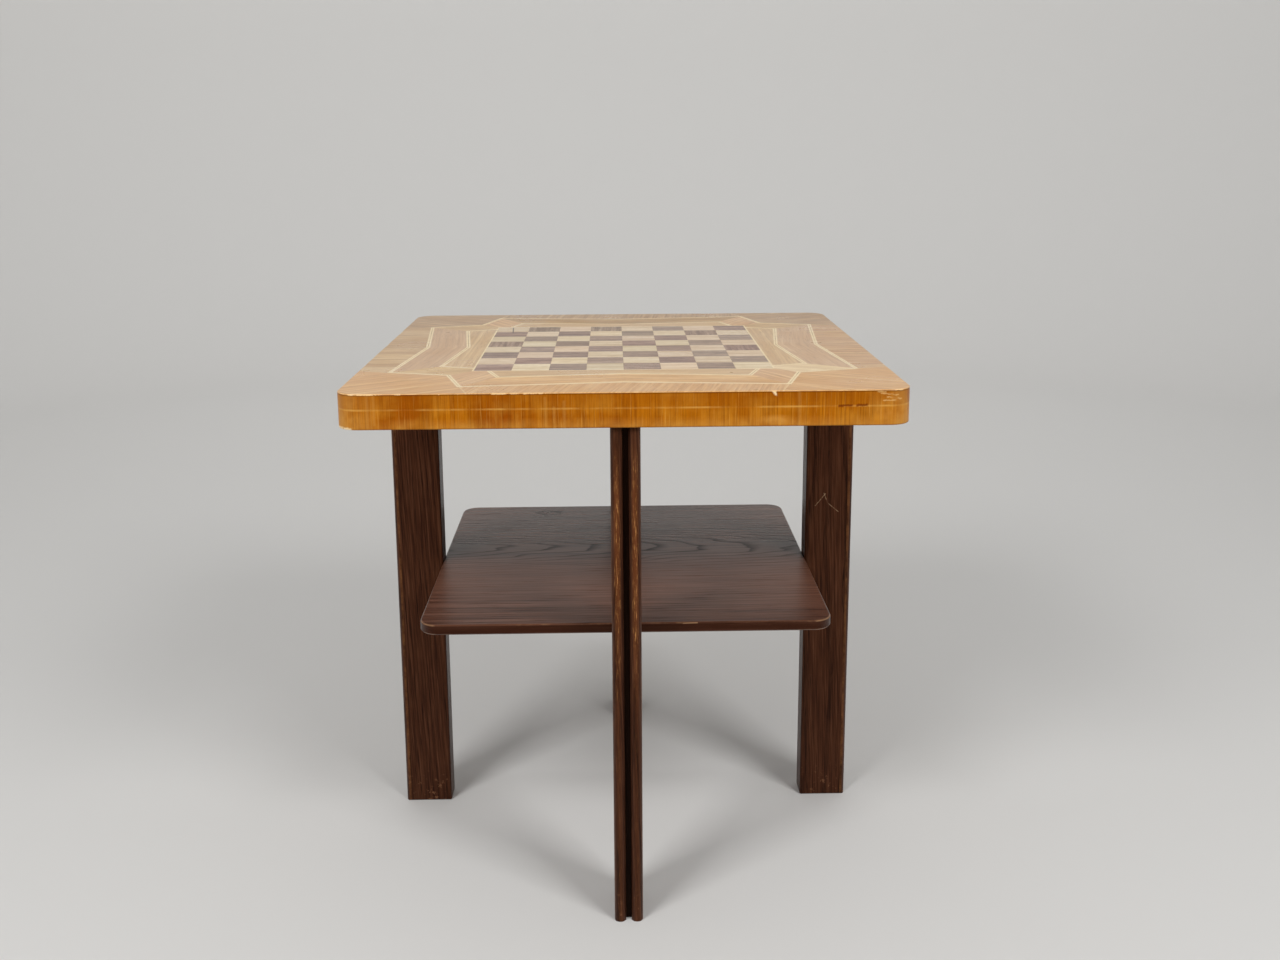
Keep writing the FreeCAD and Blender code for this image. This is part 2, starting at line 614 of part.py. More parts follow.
make_veneer("board_border", 0, [
    square("border_start", "-board_edge", "board_edge", "border_end")], all_sides=True)
make_veneer("inner_string", 0, [[
    ("board_edge", "-return_out"), ("inner_end_out", "-inner_run_out"),
    ("inner_dip_out", "0"),
    ("inner_end_out", "inner_run_out"), ("board_edge", "return_out"),
    ("board_edge", "return_in"), ("inner_end_in", "inner_run_in"),
    ("inner_dip_in", "0"),
    ("inner_end_in", "-inner_run_in"), ("board_edge", "-return_in")]], all_sides=True)
make_veneer("outer_string_sides", 0, [[
    ("outer_dip_in", "0"), ("outer_end_in", "-outer_run_in"),
    ("outer_end_out", "-outer_run_out"), ("outer_dip_out", "0"),
    ("outer_end_out", "outer_run_out"), ("outer_end_in", "outer_run_in")]], all_sides=True)
make_veneer("outer_string_corners", 0, [[
    ("notch_in", "notch_in"), ("outer_end_in", "outer_run_in"),
    ("outer_end_out", "outer_run_out"), ("notch_out", "notch_out"),
    ("outer_run_out", "outer_end_out"), ("outer_run_in", "outer_end_in")]], all_sides=True)

INNER_FIELD = [
    ("board_edge", "-return_in"), ("inner_end_in", "-inner_run_in"), ("inner_dip_in", "0"),
    ("inner_end_in", "inner_run_in"), ("board_edge", "return_in")]
BAND_LEAVES = [
    [("seam_in", "half_joint"), ("seam_out", "half_joint"),
     ("outer_end_in", "outer_run_in"), ("inner_end_out", "inner_run_out")],
    [("seam_in", "-half_joint"), ("inner_end_out", "-inner_run_out"),
     ("outer_end_in", "-outer_run_in"), ("seam_out", "-half_joint")]]
BAND_LATER_END = [
    ("inner_end_out", "inner_run_out"), ("outer_end_in", "outer_run_in"), ("notch_in", "notch_in"),
    ("board_edge", "board_edge"), ("board_edge", "return_out")]
BAND_EARLIER_END = [
    ("board_edge", "-return_out"), ("board_edge", "-board_edge"), ("notch_in", "-notch_in"),
    ("outer_end_in", "-outer_run_in"), ("inner_end_out", "-inner_run_out")]
SIDE_FIELD = [
    ("outer_dip_out", "0"), ("outer_end_out", "-outer_run_out"), ("half_top", "-field_joint"),
    ("half_top", "field_joint"), ("outer_end_out", "outer_run_out")]
CORNER_FIELD = [
    ("notch_out", "notch_out"), ("outer_end_out", "outer_run_out"), ("half_top", "field_joint"),
    ("half_top", "top_straight"), ("top_straight", "half_top"),
    ("field_joint", "half_top"), ("outer_run_out", "outer_end_out")]
for turn, side in enumerate(SIDE_NAMES):
    later_side = SIDE_NAMES[(turn + 1) % SIDES]
    earlier_side = SIDE_NAMES[turn - 1]
    make_veneer("inner_field_" + side, turn, [INNER_FIELD])
    make_veneer("band_" + side, turn, BAND_LEAVES)
    make_veneer("band_end_%s_%s" % (side, later_side), turn, [BAND_LATER_END])
    make_veneer("band_end_%s_%s" % (side, earlier_side), turn, [BAND_EARLIER_END])
    make_veneer("outer_field_" + side, turn, [SIDE_FIELD])
    make_veneer("outer_field_" + CORNER_NAMES[turn], turn, [CORNER_FIELD], arcs={3: "top_corner_radius"})


# Every object has to be whole before anything is written

doc.recompute()
for item in doc.Objects:
    if "Invalid" in item.State or "Error" in item.State:
        raise RuntimeError("not built: " + item.Label)
for piece in pieces:
    if piece.Shape.isNull() or not piece.Shape.isValid() or not piece.Shape.Solids:
        raise RuntimeError("no sound solid: " + piece.Label)

os.makedirs("parts", exist_ok=True)
for piece in pieces:
    piece.Shape.exportStep(os.path.join("parts", piece.Label + ".step"))
    print(piece.Label, len(piece.Shape.Solids), "solids, volume", round(piece.Shape.Volume))
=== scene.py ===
import math

import bmesh
import bpy
from mathutils import Matrix, Vector, noise


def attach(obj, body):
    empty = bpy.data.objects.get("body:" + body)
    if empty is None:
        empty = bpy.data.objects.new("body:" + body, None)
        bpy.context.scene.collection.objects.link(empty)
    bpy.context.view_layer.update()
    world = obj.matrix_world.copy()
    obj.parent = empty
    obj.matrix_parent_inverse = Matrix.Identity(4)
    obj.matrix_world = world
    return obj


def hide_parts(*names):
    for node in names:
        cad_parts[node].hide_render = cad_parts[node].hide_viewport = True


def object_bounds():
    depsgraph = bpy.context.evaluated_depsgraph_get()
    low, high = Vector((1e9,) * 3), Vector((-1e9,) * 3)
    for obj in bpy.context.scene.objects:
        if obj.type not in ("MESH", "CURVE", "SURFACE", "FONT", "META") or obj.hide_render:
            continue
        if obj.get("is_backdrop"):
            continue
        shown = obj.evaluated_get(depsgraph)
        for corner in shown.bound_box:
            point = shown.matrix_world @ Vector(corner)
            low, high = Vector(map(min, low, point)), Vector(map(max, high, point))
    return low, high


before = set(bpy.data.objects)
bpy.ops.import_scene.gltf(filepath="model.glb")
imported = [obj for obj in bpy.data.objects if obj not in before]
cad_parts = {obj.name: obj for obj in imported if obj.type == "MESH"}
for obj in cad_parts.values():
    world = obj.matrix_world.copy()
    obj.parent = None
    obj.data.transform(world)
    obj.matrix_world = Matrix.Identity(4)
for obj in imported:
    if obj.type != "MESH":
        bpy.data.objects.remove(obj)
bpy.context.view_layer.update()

# Legs: four oak slabs, planed flat, with two beads and a deep groove worked along the outer edge.
# Stained dark brown and waxed; mortised for the cross rails, dowelled to the top and to the shelf.
# Hands have rubbed the stain off the crests of the beads, and shoes have scuffed the feet.

SIDES = ("front", "back", "left", "right")
LEG_OUTER = 294.0
LEG_SHOULDER = 289.0
LEG_HALF = 16.0
GROOVE_HALF = 3.0
GROOVE_FLOOR = 285.0
# dark, middle and pale streaks, and pores
LEG_TONES = ("2d1811", "442719", "5a3928", "190c08")
RUBBED_STAIN = "7f4723"
BARE_FLECK_AND_GLINT = "bd8850"
KNOCKED_ARRIS = "835734"
SCUFF = "8a6044"
SCRATCH = "a98a6c"
# near black: dirt in the groove, and painted shade in its depth
GROOVE_DIRT_AND_SHADE = "080302"
OAK_SHINE = "6e4a36"
# streaks and pores: width, length and noise levels; oak pores are 0.3 mm, drawn wider so that they show
OAK_LAYERS = ((1.9, 170, 0.28, 0.72), (1.1, 44, 0.49, 0.64))
# where the beads are handled, and where painted shade under the top keeps them dark: two heights, and the shares of
# wear below and above them
HANDLED_AND_SHADED_ZONES = ((250, 400, 0.1, 1), (500, 560, 1, 0.08))
# scratches on the right leg's front face
LEG_SCRATCHES = (((246, -16, 404), (259, -16, 420)), ((257, -16, 421), (262, -16, 408)),
                 ((263, -16, 407), (276, -16, 396)))


def linear(code):
    """Linear colour of an sRGB hex value."""
    parts = [int(code[place:place + 2], 16) / 255 for place in (0, 2, 4)]
    return [part / 12.92 if part <= 0.04045 else ((part + 0.055) / 1.055) ** 2.4 for part in parts] + [1.0]


def feed(tree, inputs, links):
    """Give each socket a value, or link it to the socket that feeds it."""
    for socket, value in links.items():
        if isinstance(value, bpy.types.NodeSocket):
            tree.links.new(value, inputs[socket])
        else:
            inputs[socket].default_value = value


def add(tree, kind, links=None, stops=None, **settings):
    """Add a node with its settings, what its sockets are given, and the stops of its ramp."""
    made = tree.nodes.new("ShaderNode" + kind)
    for name, value in settings.items():
        setattr(made, name, value)
    feed(tree, made.inputs, links or {})
    for number, (place, code) in enumerate(stops or []):
        elements = made.color_ramp.elements
        element = elements[number] if number < 2 else elements.new(place)
        element.position = place
        element.color = linear(code)
    return made.outputs


def new_finish(name):
    """Empty material, its tree and shader, and the place on the table in millimetres."""
    material = bpy.data.materials.new(name)
    material.use_nodes = True
    tree = material.node_tree
    metres = add(tree, "TexCoord")["Object"]
    place = add(tree, "VectorMath", {0: metres, 1: (1000, 1000, 1000)}, operation="MULTIPLY")[0]
    return material, tree, tree.nodes["Principled BSDF"], place


def laid_over(tree, colour, *layers):
    """Colour with stain, dirt or wear laid over it; a layer is a tone and the shares whose product covers."""
    for code, share, *others in layers:
        for other in others:
            share = add(tree, "Math", {0: share, 1: other}, operation="MULTIPLY")[0]
        colour = add(tree, "Mix", {0: share, 6: colour, 7: linear(code)}, data_type="RGBA")[2]
    return colour


def folded_plan(tree, place):
    """Distances outward, sideways and up, the same for all four sides of the table and both halves of each."""
    plan = add(tree, "SeparateXYZ", {0: add(tree, "VectorMath", {0: place}, operation="ABSOLUTE")[0]})
    outward = add(tree, "Math", {0: plan[0], 1: plan[1]}, operation="MAXIMUM")[0]
    sideways = add(tree, "Math", {0: plan[0], 1: plan[1]}, operation="MINIMUM")[0]
    return outward, sideways, plan[2]


def timber_figure(tree, fibre, pith, tilt, ring, bend, layers, swelling=0.0):
    """Figure of sawn timber: shares from 0 to 1 of the growth rings and of each layer of fibres.
    fibre is the place in the board in mm, with its Z along the grain. The pith lies at two distances across the
    board and rises by tilt; bend is the width, length and amount by which the rings wander, and swelling pushes
    them out. A layer is a width, a length and the two noise levels that become 0 and 1."""
    width, length, amount = bend
    slow = add(tree, "VectorMath", {0: fibre, 1: (1 / width, 1 / width, 1 / length)}, operation="MULTIPLY")[0]
    sway = add(tree, "TexNoise", {"Vector": slow, "Scale": 1, "Detail": 2})[0]
    sway = add(tree, "MapRange", {0: sway, 3: -amount, 4: amount}, clamp=False)[0]
    across = add(tree, "SeparateXYZ", {0: fibre})
    aside = add(tree, "Math", {0: across[0], 1: pith[0]}, operation="SUBTRACT")[0]
    rise = add(tree, "Math", {0: across[2], 1: tilt, 2: pith[1]}, operation="MULTIPLY_ADD")[0]
    rise = add(tree, "Math", {0: across[1], 1: rise}, operation="SUBTRACT")[0]
    out = add(tree, "VectorMath", {0: add(tree, "CombineXYZ", {0: aside, 1: rise})[0]}, operation="LENGTH")[1]
    for push in (sway, swelling):
        out = add(tree, "Math", {0: out, 1: push}, operation="ADD")[0]
    turns = add(tree, "Math", {0: out, 1: ring}, operation="DIVIDE")[0]
    figure = [add(tree, "Math", {0: turns}, operation="FRACT")[0]]
    for width, length, low, high in layers:
        drawn = add(tree, "VectorMath", {0: fibre, 1: (1 / width, 1 / width, 1 / length)}, operation="MULTIPLY")[0]
        grain = add(tree, "TexNoise", {"Vector": drawn, "Scale": 1, "Detail": 3, "Roughness": 0.6})[0]
        figure.append(add(tree, "MapRange", {0: grain, 1: low, 2: high})[0])
    return figure


def stained_oak(tree, shader, figure, tones, ring_share, waxed=0.34):
    """Open-pored oak under a dark stain and wax: dark pores crowd the start of each ring, and the sheen is low.
    Gives the colour before wear, and the roughness, from waxed upwards; sets the shine and the pores' bump."""
    rings, streak, pore = figure
    early = add(tree, "ValToRGB", {0: rings}, stops=[
        (0.0, "ffffff"), (0.3, "000000"), (0.94, "000000"), (1.0, "ffffff")])[0]
    crowd = add(tree, "MapRange", {0: early, 3: 0.3})[0]
    porous = add(tree, "Math", {0: pore, 1: crowd}, operation="MULTIPLY")[0]
    ringed = add(tree, "Math", {0: early, 1: ring_share}, operation="MULTIPLY")[0]
    colour = add(tree, "ValToRGB", {0: streak}, stops=[(0.0, tones[0]), (0.5, tones[1]), (1.0, tones[2])])[0]
    colour = laid_over(tree, colour, (tones[3], ringed), (tones[3], porous))
    dull = add(tree, "Math", {0: ringed, 1: 0.55}, operation="MULTIPLY")[0]
    dull = add(tree, "Math", {0: dull, 1: porous}, operation="MAXIMUM")[0]
    rough = add(tree, "MapRange", {0: dull, 3: waxed, 4: 0.6})[0]
    bump = add(tree, "Bump", {"Strength": 0.3, "Distance": 0.0004, "Height": porous}, invert=True)[0]
    feed(tree, shader.inputs, {"Normal": bump, "Specular Tint": linear(OAK_SHINE)})
    return colour, rough


def mark_along(tree, place, start, end, width):
    """Share from 0 to 1 of a scratch, crack or joint between two places, fading out over its width."""
    run = Vector(end) - Vector(start)
    off = add(tree, "VectorMath", {0: place, 1: start}, operation="SUBTRACT")[0]
    along = add(tree, "VectorMath", {0: off, 1: run / run.length_squared}, operation="DOT_PRODUCT")[1]
    along = add(tree, "Clamp", {0: along})[0]
    nearest = add(tree, "VectorMath", {0: run, "Scale": along}, operation="SCALE")[0]
    away = add(tree, "VectorMath", {0: off, 1: nearest}, operation="DISTANCE")[1]
    return add(tree, "MapRange", {0: away, 1: width / 4, 2: width, 3: 1, 4: 0})[0]


def dress(nodes, finish, soften=0.0):
    """Give CAD nodes their finish, and ease their edges by a few tenths of a millimetre."""
    for name in nodes:
        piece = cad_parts[name]
        piece.data.materials.clear()
        piece.data.materials.append(finish)
        if soften:
            weld = piece.modifiers.new("joined_faces", "WELD")
            weld.merge_threshold = 0.00001
            ease = piece.modifiers.new("eased_edges", "BEVEL")
            ease.width = soften / 1000
            ease.segments = 2
            ease.limit_method = "ANGLE"
            ease.angle_limit = math.radians(40)
            flat = piece.modifiers.new("flat_faces", "WEIGHTED_NORMAL")
            flat.weight = 100


# stain over open-pored oak, waxed: nearly matt, warm and very dark, with the grain as finer, darker lines
leg_oak, tree, shader, place = new_finish("dark_stained_oak_beaded")
leaning = add(tree, "Mapping", {"Vector": place, "Rotation": (-0.025, 0.035, 0)})[0]
figure = timber_figure(tree, leaning, (190, 410), 0.02, 4.2, (40, 260, 4), OAK_LAYERS)
colour, rough = stained_oak(tree, shader, figure, LEG_TONES, 0.45)
outward, sideways, height = folded_plan(tree, place)
# crests of the beads, rubbed most between shelf and top, where the leg is taken hold of; the wear fades out just
# under the top as painted shade of its overhang
crest_wear_and_shade = add(tree, "MapRange", {0: outward, 1: LEG_OUTER - 1.3, 2: LEG_OUTER - 0.1})[0]
for low, high, below, above in HANDLED_AND_SHADED_ZONES:
    zone = add(tree, "MapRange", {0: height, 1: low, 2: high, 3: below, 4: above})[0]
    crest_wear_and_shade = add(tree, "Math", {0: crest_wear_and_shade, 1: zone}, operation="MULTIPLY")[0]
# pale flecks on the rubbed crests: partly bared wood, partly painted glints of the lamps on the wax
fibres = add(tree, "VectorMath", {0: place, 1: (1 / 1.1, 1 / 1.1, 1 / 14)}, operation="MULTIPLY")[0]
flecks = add(tree, "TexNoise", {"Vector": fibres, "Scale": 1, "Detail": 4, "Roughness": 0.7})[0]
flecks = add(tree, "MapRange", {0: flecks, 1: 0.55, 2: 0.68})[0]
# arrises beside the beads
arris = add(tree, "MapRange", {0: sideways, 1: LEG_HALF - 1.6, 2: LEG_HALF - 0.5})[0]
shoulder = add(tree, "Math", {0: outward, 1: LEG_SHOULDER, 2: 1.6}, operation="COMPARE")[0]
knocks = add(tree, "TexNoise", {"Vector": place, "Scale": 0.06, "Detail": 5, "Roughness": 0.65})[0]
knocks = add(tree, "MapRange", {0: knocks, 1: 0.4, 2: 0.65, 3: 0.05, 4: 0.45})[0]
# scuffed feet
scuffs = add(tree, "TexNoise", {"Vector": place, "Scale": 0.16, "Detail": 4, "Roughness": 0.6})[0]
scuffs = add(tree, "MapRange", {0: scuffs, 1: 0.6, 2: 0.7, 3: 0, 4: 0.7})[0]
low_down = add(tree, "MapRange", {0: height, 1: 12, 2: 48, 3: 1, 4: 0})[0]
# scratches that skip
skips = add(tree, "TexNoise", {"Vector": place, "Scale": 0.3, "Detail": 3})[0]
skips = add(tree, "MapRange", {0: skips, 1: 0.42, 2: 0.6, 3: 0.1, 4: 0.8})[0]
scratches = [mark_along(tree, place, start, end, 0.7) for start, end in LEG_SCRATCHES]
# dirt and stain in the groove, and painted shade: near black at its floor, where the deep groove lies in shadow
hollow = add(tree, "MapRange", {0: sideways, 1: GROOVE_HALF + 0.6, 2: GROOVE_HALF, 3: 0, 4: 1})[0]
deep = add(tree, "MapRange", {0: outward, 1: GROOVE_FLOOR - 1, 2: GROOVE_FLOOR, 3: 0, 4: 0.95})[0]
colour = laid_over(
    tree, colour, (RUBBED_STAIN, crest_wear_and_shade, 0.34), (BARE_FLECK_AND_GLINT, flecks, crest_wear_and_shade),
    (KNOCKED_ARRIS, arris, shoulder, knocks), (SCUFF, scuffs, low_down),
    *[(SCRATCH, scratch, skips) for scratch in scratches], (GROOVE_DIRT_AND_SHADE, hollow, deep))
feed(tree, shader.inputs, {"Base Color": colour, "Roughness": rough, "IOR": 1.48})
dress(["leg_" + side for side in SIDES], leg_oak, soften=0.6)

# Shelf: one crown-cut oak board, its grain from side to side, its corners rounded and its arrises eased.
# The same stain and wax as the legs; its sides butt against the legs and are dowelled to them.
# Knocks have bared the arrises, most at the corners, and a knot lies near the back edge.

SHELF_TOP = 334.0
SHELF_THICK = 12.0
SHELF_MIDDLE = SHELF_TOP - SHELF_THICK / 2
SHELF_HALF = 234.0
SHELF_CORNER = 22.0
SHELF_STRAIGHT = SHELF_HALF - SHELF_CORNER
SHELF_TONES = ("38211a", "57382b", "735042", "140906")
# paler tone of a painted sheen
SHEEN_STRIP_TONE = "76503f"
# near black of the painted shadow of the legs
LEG_SHADOW_ON_HEART = "1d0e09"
EDGE_STAIN = "2c140a"
BARED_OAK = "917052"
HEART_LINE = 38.0
# streaks and pores, drawn wider than on the legs because the shelf is seen nearly edge on
SHELF_LAYERS = ((4.2, 200, 0.3, 0.7), (2.3, 64, 0.51, 0.66))
KNOT = (-108, 201, SHELF_TOP)
KNOT_REACH = (24, 19, 40)
KNOT_RIM = 0.55
EDGE_SCUFF = ((64, -233.5, 332.5), (80, -233.5, 333))


def shaken(tree, place, scale, reach):
    """Place pushed about by up to reach, so that a mark drawn on it has a ragged outline."""
    push = add(tree, "TexNoise", {"Vector": place, "Scale": scale, "Detail": 2})["Color"]
    push = add(tree, "VectorMath", {0: push, 1: 2 * Vector(reach), 2: -Vector(reach)}, operation="MULTIPLY_ADD")[0]
    return add(tree, "VectorMath", {0: place, 1: push}, operation="ADD")[0]


def off_level(tree, value, level):
    """Distance of a value from a level, to either side."""
    off = add(tree, "Math", {0: value, 1: level}, operation="SUBTRACT")[0]
    return add(tree, "Math", {0: off}, operation="ABSOLUTE")[0]


def off_spot(tree, place, middle, reach):
    """Distance from the middle of an oval spot, as a share of its reach."""
    off = add(tree, "VectorMath", {0: place, 1: middle}, operation="SUBTRACT")[0]
    off = add(tree, "VectorMath", {0: off, 1: reach}, operation="DIVIDE")[0]
    return add(tree, "VectorMath", {0: off}, operation="LENGTH")[1]


# the same stain and wax on a flat board: crown-cut rings draw long points, and the wax shines when seen low
board_oak, tree, shader, place = new_finish("dark_stained_oak_board")
plan = add(tree, "SeparateXYZ", {0: place})
fibre = add(tree, "CombineXYZ", {0: plan[1], 1: plan[2], 2: plan[0]})[0]
off_knot = off_spot(tree, shaken(tree, place, 0.06, (10, 7, 0)), KNOT, KNOT_REACH)
swelling = add(tree, "MapRange", {0: off_knot, 2: 2.2, 3: 15, 4: 0}, interpolation_type="SMOOTHSTEP")[0]
figure = timber_figure(tree, fibre, (HEART_LINE, SHELF_TOP - 60), -0.1, 7.0, (34, 130, 8), SHELF_LAYERS, swelling)
# the rings show most over the heart
from_heart = off_level(tree, plan[1], HEART_LINE)
ring_share = add(tree, "MapRange", {0: from_heart, 1: 20, 2: 110, 3: 0.95, 4: 0.3})[0]
# use has rubbed the wax dull towards the front, and it still shines at the back
waxed = add(tree, "MapRange", {0: plan[1], 1: -60, 2: 180, 3: 0.34, 4: 0.2})[0]
colour, rough = stained_oak(tree, shader, figure, SHELF_TONES, ring_share, waxed)
# painted sheen: a broad paler strip in front of the middle, where the wax catches the light
sheen_strip = add(tree, "MapRange", {0: plan[1], 1: -190, 2: -90, 3: 0, 4: 0.5}, interpolation_type="SMOOTHSTEP")[0]
before_heart = add(tree, "MapRange", {0: plan[1], 1: -60, 2: 20, 3: 1, 4: 0}, interpolation_type="SMOOTHSTEP")[0]
# painted shadow of the legs: along the heart, darker towards both ends of the board, beside the legs
heart = add(tree, "MapRange", {0: from_heart, 1: 8, 2: 66, 3: 0.8, 4: 0}, interpolation_type="SMOOTHSTEP")[0]
ends = add(tree, "MapRange", {0: add(tree, "Math", {0: plan[0]}, operation="ABSOLUTE")[0], 1: 70, 2: 225})[0]
# the knot has a dark rim and heart, and takes little wax
off_rim = off_level(tree, off_knot, KNOT_RIM)
knot_rim = add(tree, "MapRange", {0: off_rim, 1: 0.04, 2: 0.22, 3: 0.65, 4: 0})[0]
knot_heart = add(tree, "MapRange", {0: off_knot, 1: 0.06, 2: 0.3, 3: 0.8, 4: 0})[0]
knot = add(tree, "Math", {0: knot_rim, 1: knot_heart}, operation="MAXIMUM")[0]
rough = add(tree, "Math", {0: knot, 1: 0.16, 2: rough}, operation="MULTIPLY_ADD")[0]
# how far out to the rim and to a face; the edge has drunk more stain than the faces
past = add(tree, "VectorMath", {0: place}, operation="ABSOLUTE")[0]
for operation, amount in (
        ("SUBTRACT", (SHELF_STRAIGHT, SHELF_STRAIGHT, 0)), ("MAXIMUM", (0, 0, 0)), ("MULTIPLY", (1, 1, 0))):
    past = add(tree, "VectorMath", {0: past, 1: amount}, operation=operation)[0]
reach = add(tree, "VectorMath", {0: past}, operation="LENGTH")[1]
at_rim = add(tree, "MapRange", {0: reach, 1: SHELF_CORNER - 1.6, 2: SHELF_CORNER - 0.6})[0]
depth = off_level(tree, plan[2], SHELF_MIDDLE)
at_face = add(tree, "MapRange", {0: depth, 1: SHELF_THICK / 2 - 2, 2: SHELF_THICK / 2 - 0.8})[0]
off_face = add(tree, "Math", {0: 1.0, 1: at_face}, operation="SUBTRACT")[0]
# knocks along the arrises
past = add(tree, "SeparateXYZ", {0: past})
corner = add(tree, "Math", {0: past[0], 1: past[1]}, operation="MINIMUM")[0]
corner = add(tree, "MapRange", {0: corner, 2: 5, 4: 0.28})[0]
knocks = add(tree, "TexNoise", {"Vector": place, "Scale": 0.05, "Detail": 5, "Roughness": 0.65})[0]
knocks = add(tree, "Math", {0: knocks, 1: corner}, operation="ADD")[0]
bared = add(tree, "MapRange", {0: knocks, 1: 0.52, 2: 0.76, 3: 0.04, 4: 0.8})[0]
for share in (at_rim, at_face):
    bared = add(tree, "Math", {0: bared, 1: share}, operation="MULTIPLY")[0]
scuff = mark_along(tree, place, *EDGE_SCUFF, 1.0)
bared = add(tree, "Math", {0: bared, 1: scuff}, operation="MAXIMUM")[0]
colour = laid_over(
    tree, colour, (SHEEN_STRIP_TONE, sheen_strip, before_heart), (LEG_SHADOW_ON_HEART, heart, ends), (SHELF_TONES[3], knot),
    (EDGE_STAIN, at_rim, off_face, 0.82), (BARED_OAK, bared))
feed(tree, shader.inputs, {"Base Color": colour, "Roughness": rough, "IOR": 1.6})
dress(["shelf"], board_oak, soften=0.4)

# Carcass under the top: two cross rails halved together and tenoned into the legs, the core board that carries
# the marquetry, and four edge rails glued under its rim. Pine, planed and left raw, browned with age.

# streaks and resin ducts; real ducts are 0.2 mm, drawn wider so that they show
PINE_LAYERS = ((3.5, 160, 0.3, 0.7), (1.2, 30, 0.56, 0.72))
RESIN = "8a5a2e"


def raw_pine(name, grain, pith, tilt):
    """Planed pine left bare: pale early wood between hard brown late wood lines, dry and matt."""
    material, tree, shader, place = new_finish(name)
    parts = add(tree, "SeparateXYZ", {0: place})
    fibre = add(tree, "CombineXYZ", {0: parts[1 - grain], 1: parts[2], 2: parts[grain]})[0]
    rings, streak, pore = timber_figure(tree, fibre, pith, tilt, 4.5, (70, 300, 5), PINE_LAYERS)
    colour = add(tree, "ValToRGB", {0: rings}, stops=[
        (0.0, "cfa670"), (0.55, "c69a62"), (0.9, "9d6a36"), (1.0, "cfa670")])[0]
    shade = add(tree, "ValToRGB", {0: streak}, stops=[(0.0, "b98f60"), (1.0, "e0bd8c")])[0]
    colour = add(tree, "Mix", {0: 0.35, 6: colour, 7: shade}, data_type="RGBA")[2]
    colour = laid_over(tree, colour, (RESIN, pore, 0.5))
    rough = add(tree, "MapRange", {0: rings, 3: 0.78, 4: 0.62})[0]
    bump = add(tree, "Bump", {"Strength": 0.25, "Distance": 0.0003, "Height": rings})[0]
    feed(tree, shader.inputs, {"Base Color": colour, "Roughness": rough, "Normal": bump, "IOR": 1.5})
    return material


pine_across = raw_pine("planed_raw_pine_side_to_side", 0, (35, 470), 0.03)
pine_along = raw_pine("planed_raw_pine_front_to_back", 1, (-60, 480), -0.04)
dress(["cross_rail_side_to_side", "core_board", "edge_rail_front", "edge_rail_back"], pine_across, soften=0.4)
dress(["cross_rail_front_to_back", "edge_rail_left", "edge_rail_right"], pine_along, soften=0.4)

# Dowels and corner blocks: turned beech pins join the legs to the top and to the shelf, and four pine blocks
# stiffen the angles of the cross rails. Glued and left bare.

# streaks and the flecks of the rays, about as large as real ones
BEECH_LAYERS = ((1.5, 60, 0.3, 0.7), (0.8, 5, 0.56, 0.7))
RAY_FLECK = "8f6039"

# turned beech left bare: even pale brown and matt, with short brown flecks of its rays
beech, tree, shader, place = new_finish("turned_bare_beech")
rings, streak, fleck = timber_figure(tree, place, (260, 330), 0.03, 3.5, (40, 200, 3), BEECH_LAYERS)
colour = add(tree, "ValToRGB", {0: streak}, stops=[(0.0, "b98a60"), (1.0, "d0a67c")])[0]
colour = laid_over(tree, colour, (RAY_FLECK, fleck, 0.6))
rough = add(tree, "MapRange", {0: rings, 3: 0.55, 4: 0.66})[0]
feed(tree, shader.inputs, {"Base Color": colour, "Roughness": rough})
dress(["leg_dowels", "shelf_dowels"], beech)
dress(["corner_blocks"], pine_along, soften=0.5)

# Block screws: four round-headed slotted steel screws, driven up through the blocks into the core board.
# Turned heads, dulled by age.

SCREW_PLACE = 31.0
SCREW_LEVEL = 571.0
SCREW_RADIUS = 2.0
SCREW_LENGTH = 35.0
SCREW_POINT = 4.0
# radii and heights of the head, from its seat to its crown
SCREW_HEAD = ((4.0, 0.0), (4.0, 0.7), (3.7, 1.6), (3.0, 2.3), (1.9, 2.8), (0.6, 3.0))
SCREW_STEPS = 24
SLOT_HALF = 0.5
SLOT_DEPTH = 1.4
CROSS_CORNERS = ((1, 1), (-1, 1), (-1, -1), (1, -1))


def new_piece(name, shape, nodes, finishes, wear=None):
    """Piece that stands for CAD nodes; wear is kept at its corners as an attribute."""
    mesh = bpy.data.meshes.new(name)
    bmesh.ops.recalc_face_normals(shape, faces=shape.faces)
    worn = [wear[corner] for corner in shape.verts] if wear else None
    shape.to_mesh(mesh)
    shape.free()
    if worn:
        mesh.attributes.new("wear", "FLOAT", "POINT").data.foreach_set("value", worn)
    mesh.shade_smooth()
    mesh.set_sharp_from_angle(angle=math.radians(35))
    for finish in finishes:
        mesh.materials.append(finish)
    piece = bpy.data.objects.new(name, mesh)
    bpy.context.scene.collection.objects.link(piece)
    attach(piece, "root")
    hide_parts(*nodes)


def skin(solid, rings):
    """Faces between closed rings of corners, one after another, and over the first and last ring."""
    for lower, upper in zip(rings, rings[1:]):
        for number in range(len(lower)):
            following = (number + 1) % len(lower)
            solid.faces.new((lower[number], lower[following], upper[following], upper[number]))
    solid.faces.new(rings[0])
    solid.faces.new(rings[-1])


def turned_rings(shape, profile, steps):
    """Rings of corners about the upright axis, one for each radius and height of a profile."""
    angles = [2 * math.pi * step / steps for step in range(steps)]
    return [[shape.verts.new((radius * math.cos(angle), radius * math.sin(angle), height)) for angle in angles]
            for radius, height in profile]


def turned_solid(profile, keep=None):
    """Closed solid turned from a profile; keep cuts it off beside the slot."""
    solid = bmesh.new()
    skin(solid, turned_rings(solid, profile, SCREW_STEPS))
    if keep:
        cut = bmesh.ops.bisect_plane(solid, geom=solid.verts[:] + solid.edges[:] + solid.faces[:],
                                     plane_co=(keep * SLOT_HALF, 0, 0), plane_no=(-keep, 0, 0), clear_outer=True)
        rim = [part for part in cut["geom_cut"] if isinstance(part, bmesh.types.BMEdge)]
        bmesh.ops.edgeloop_fill(solid, edges=rim)
    return solid


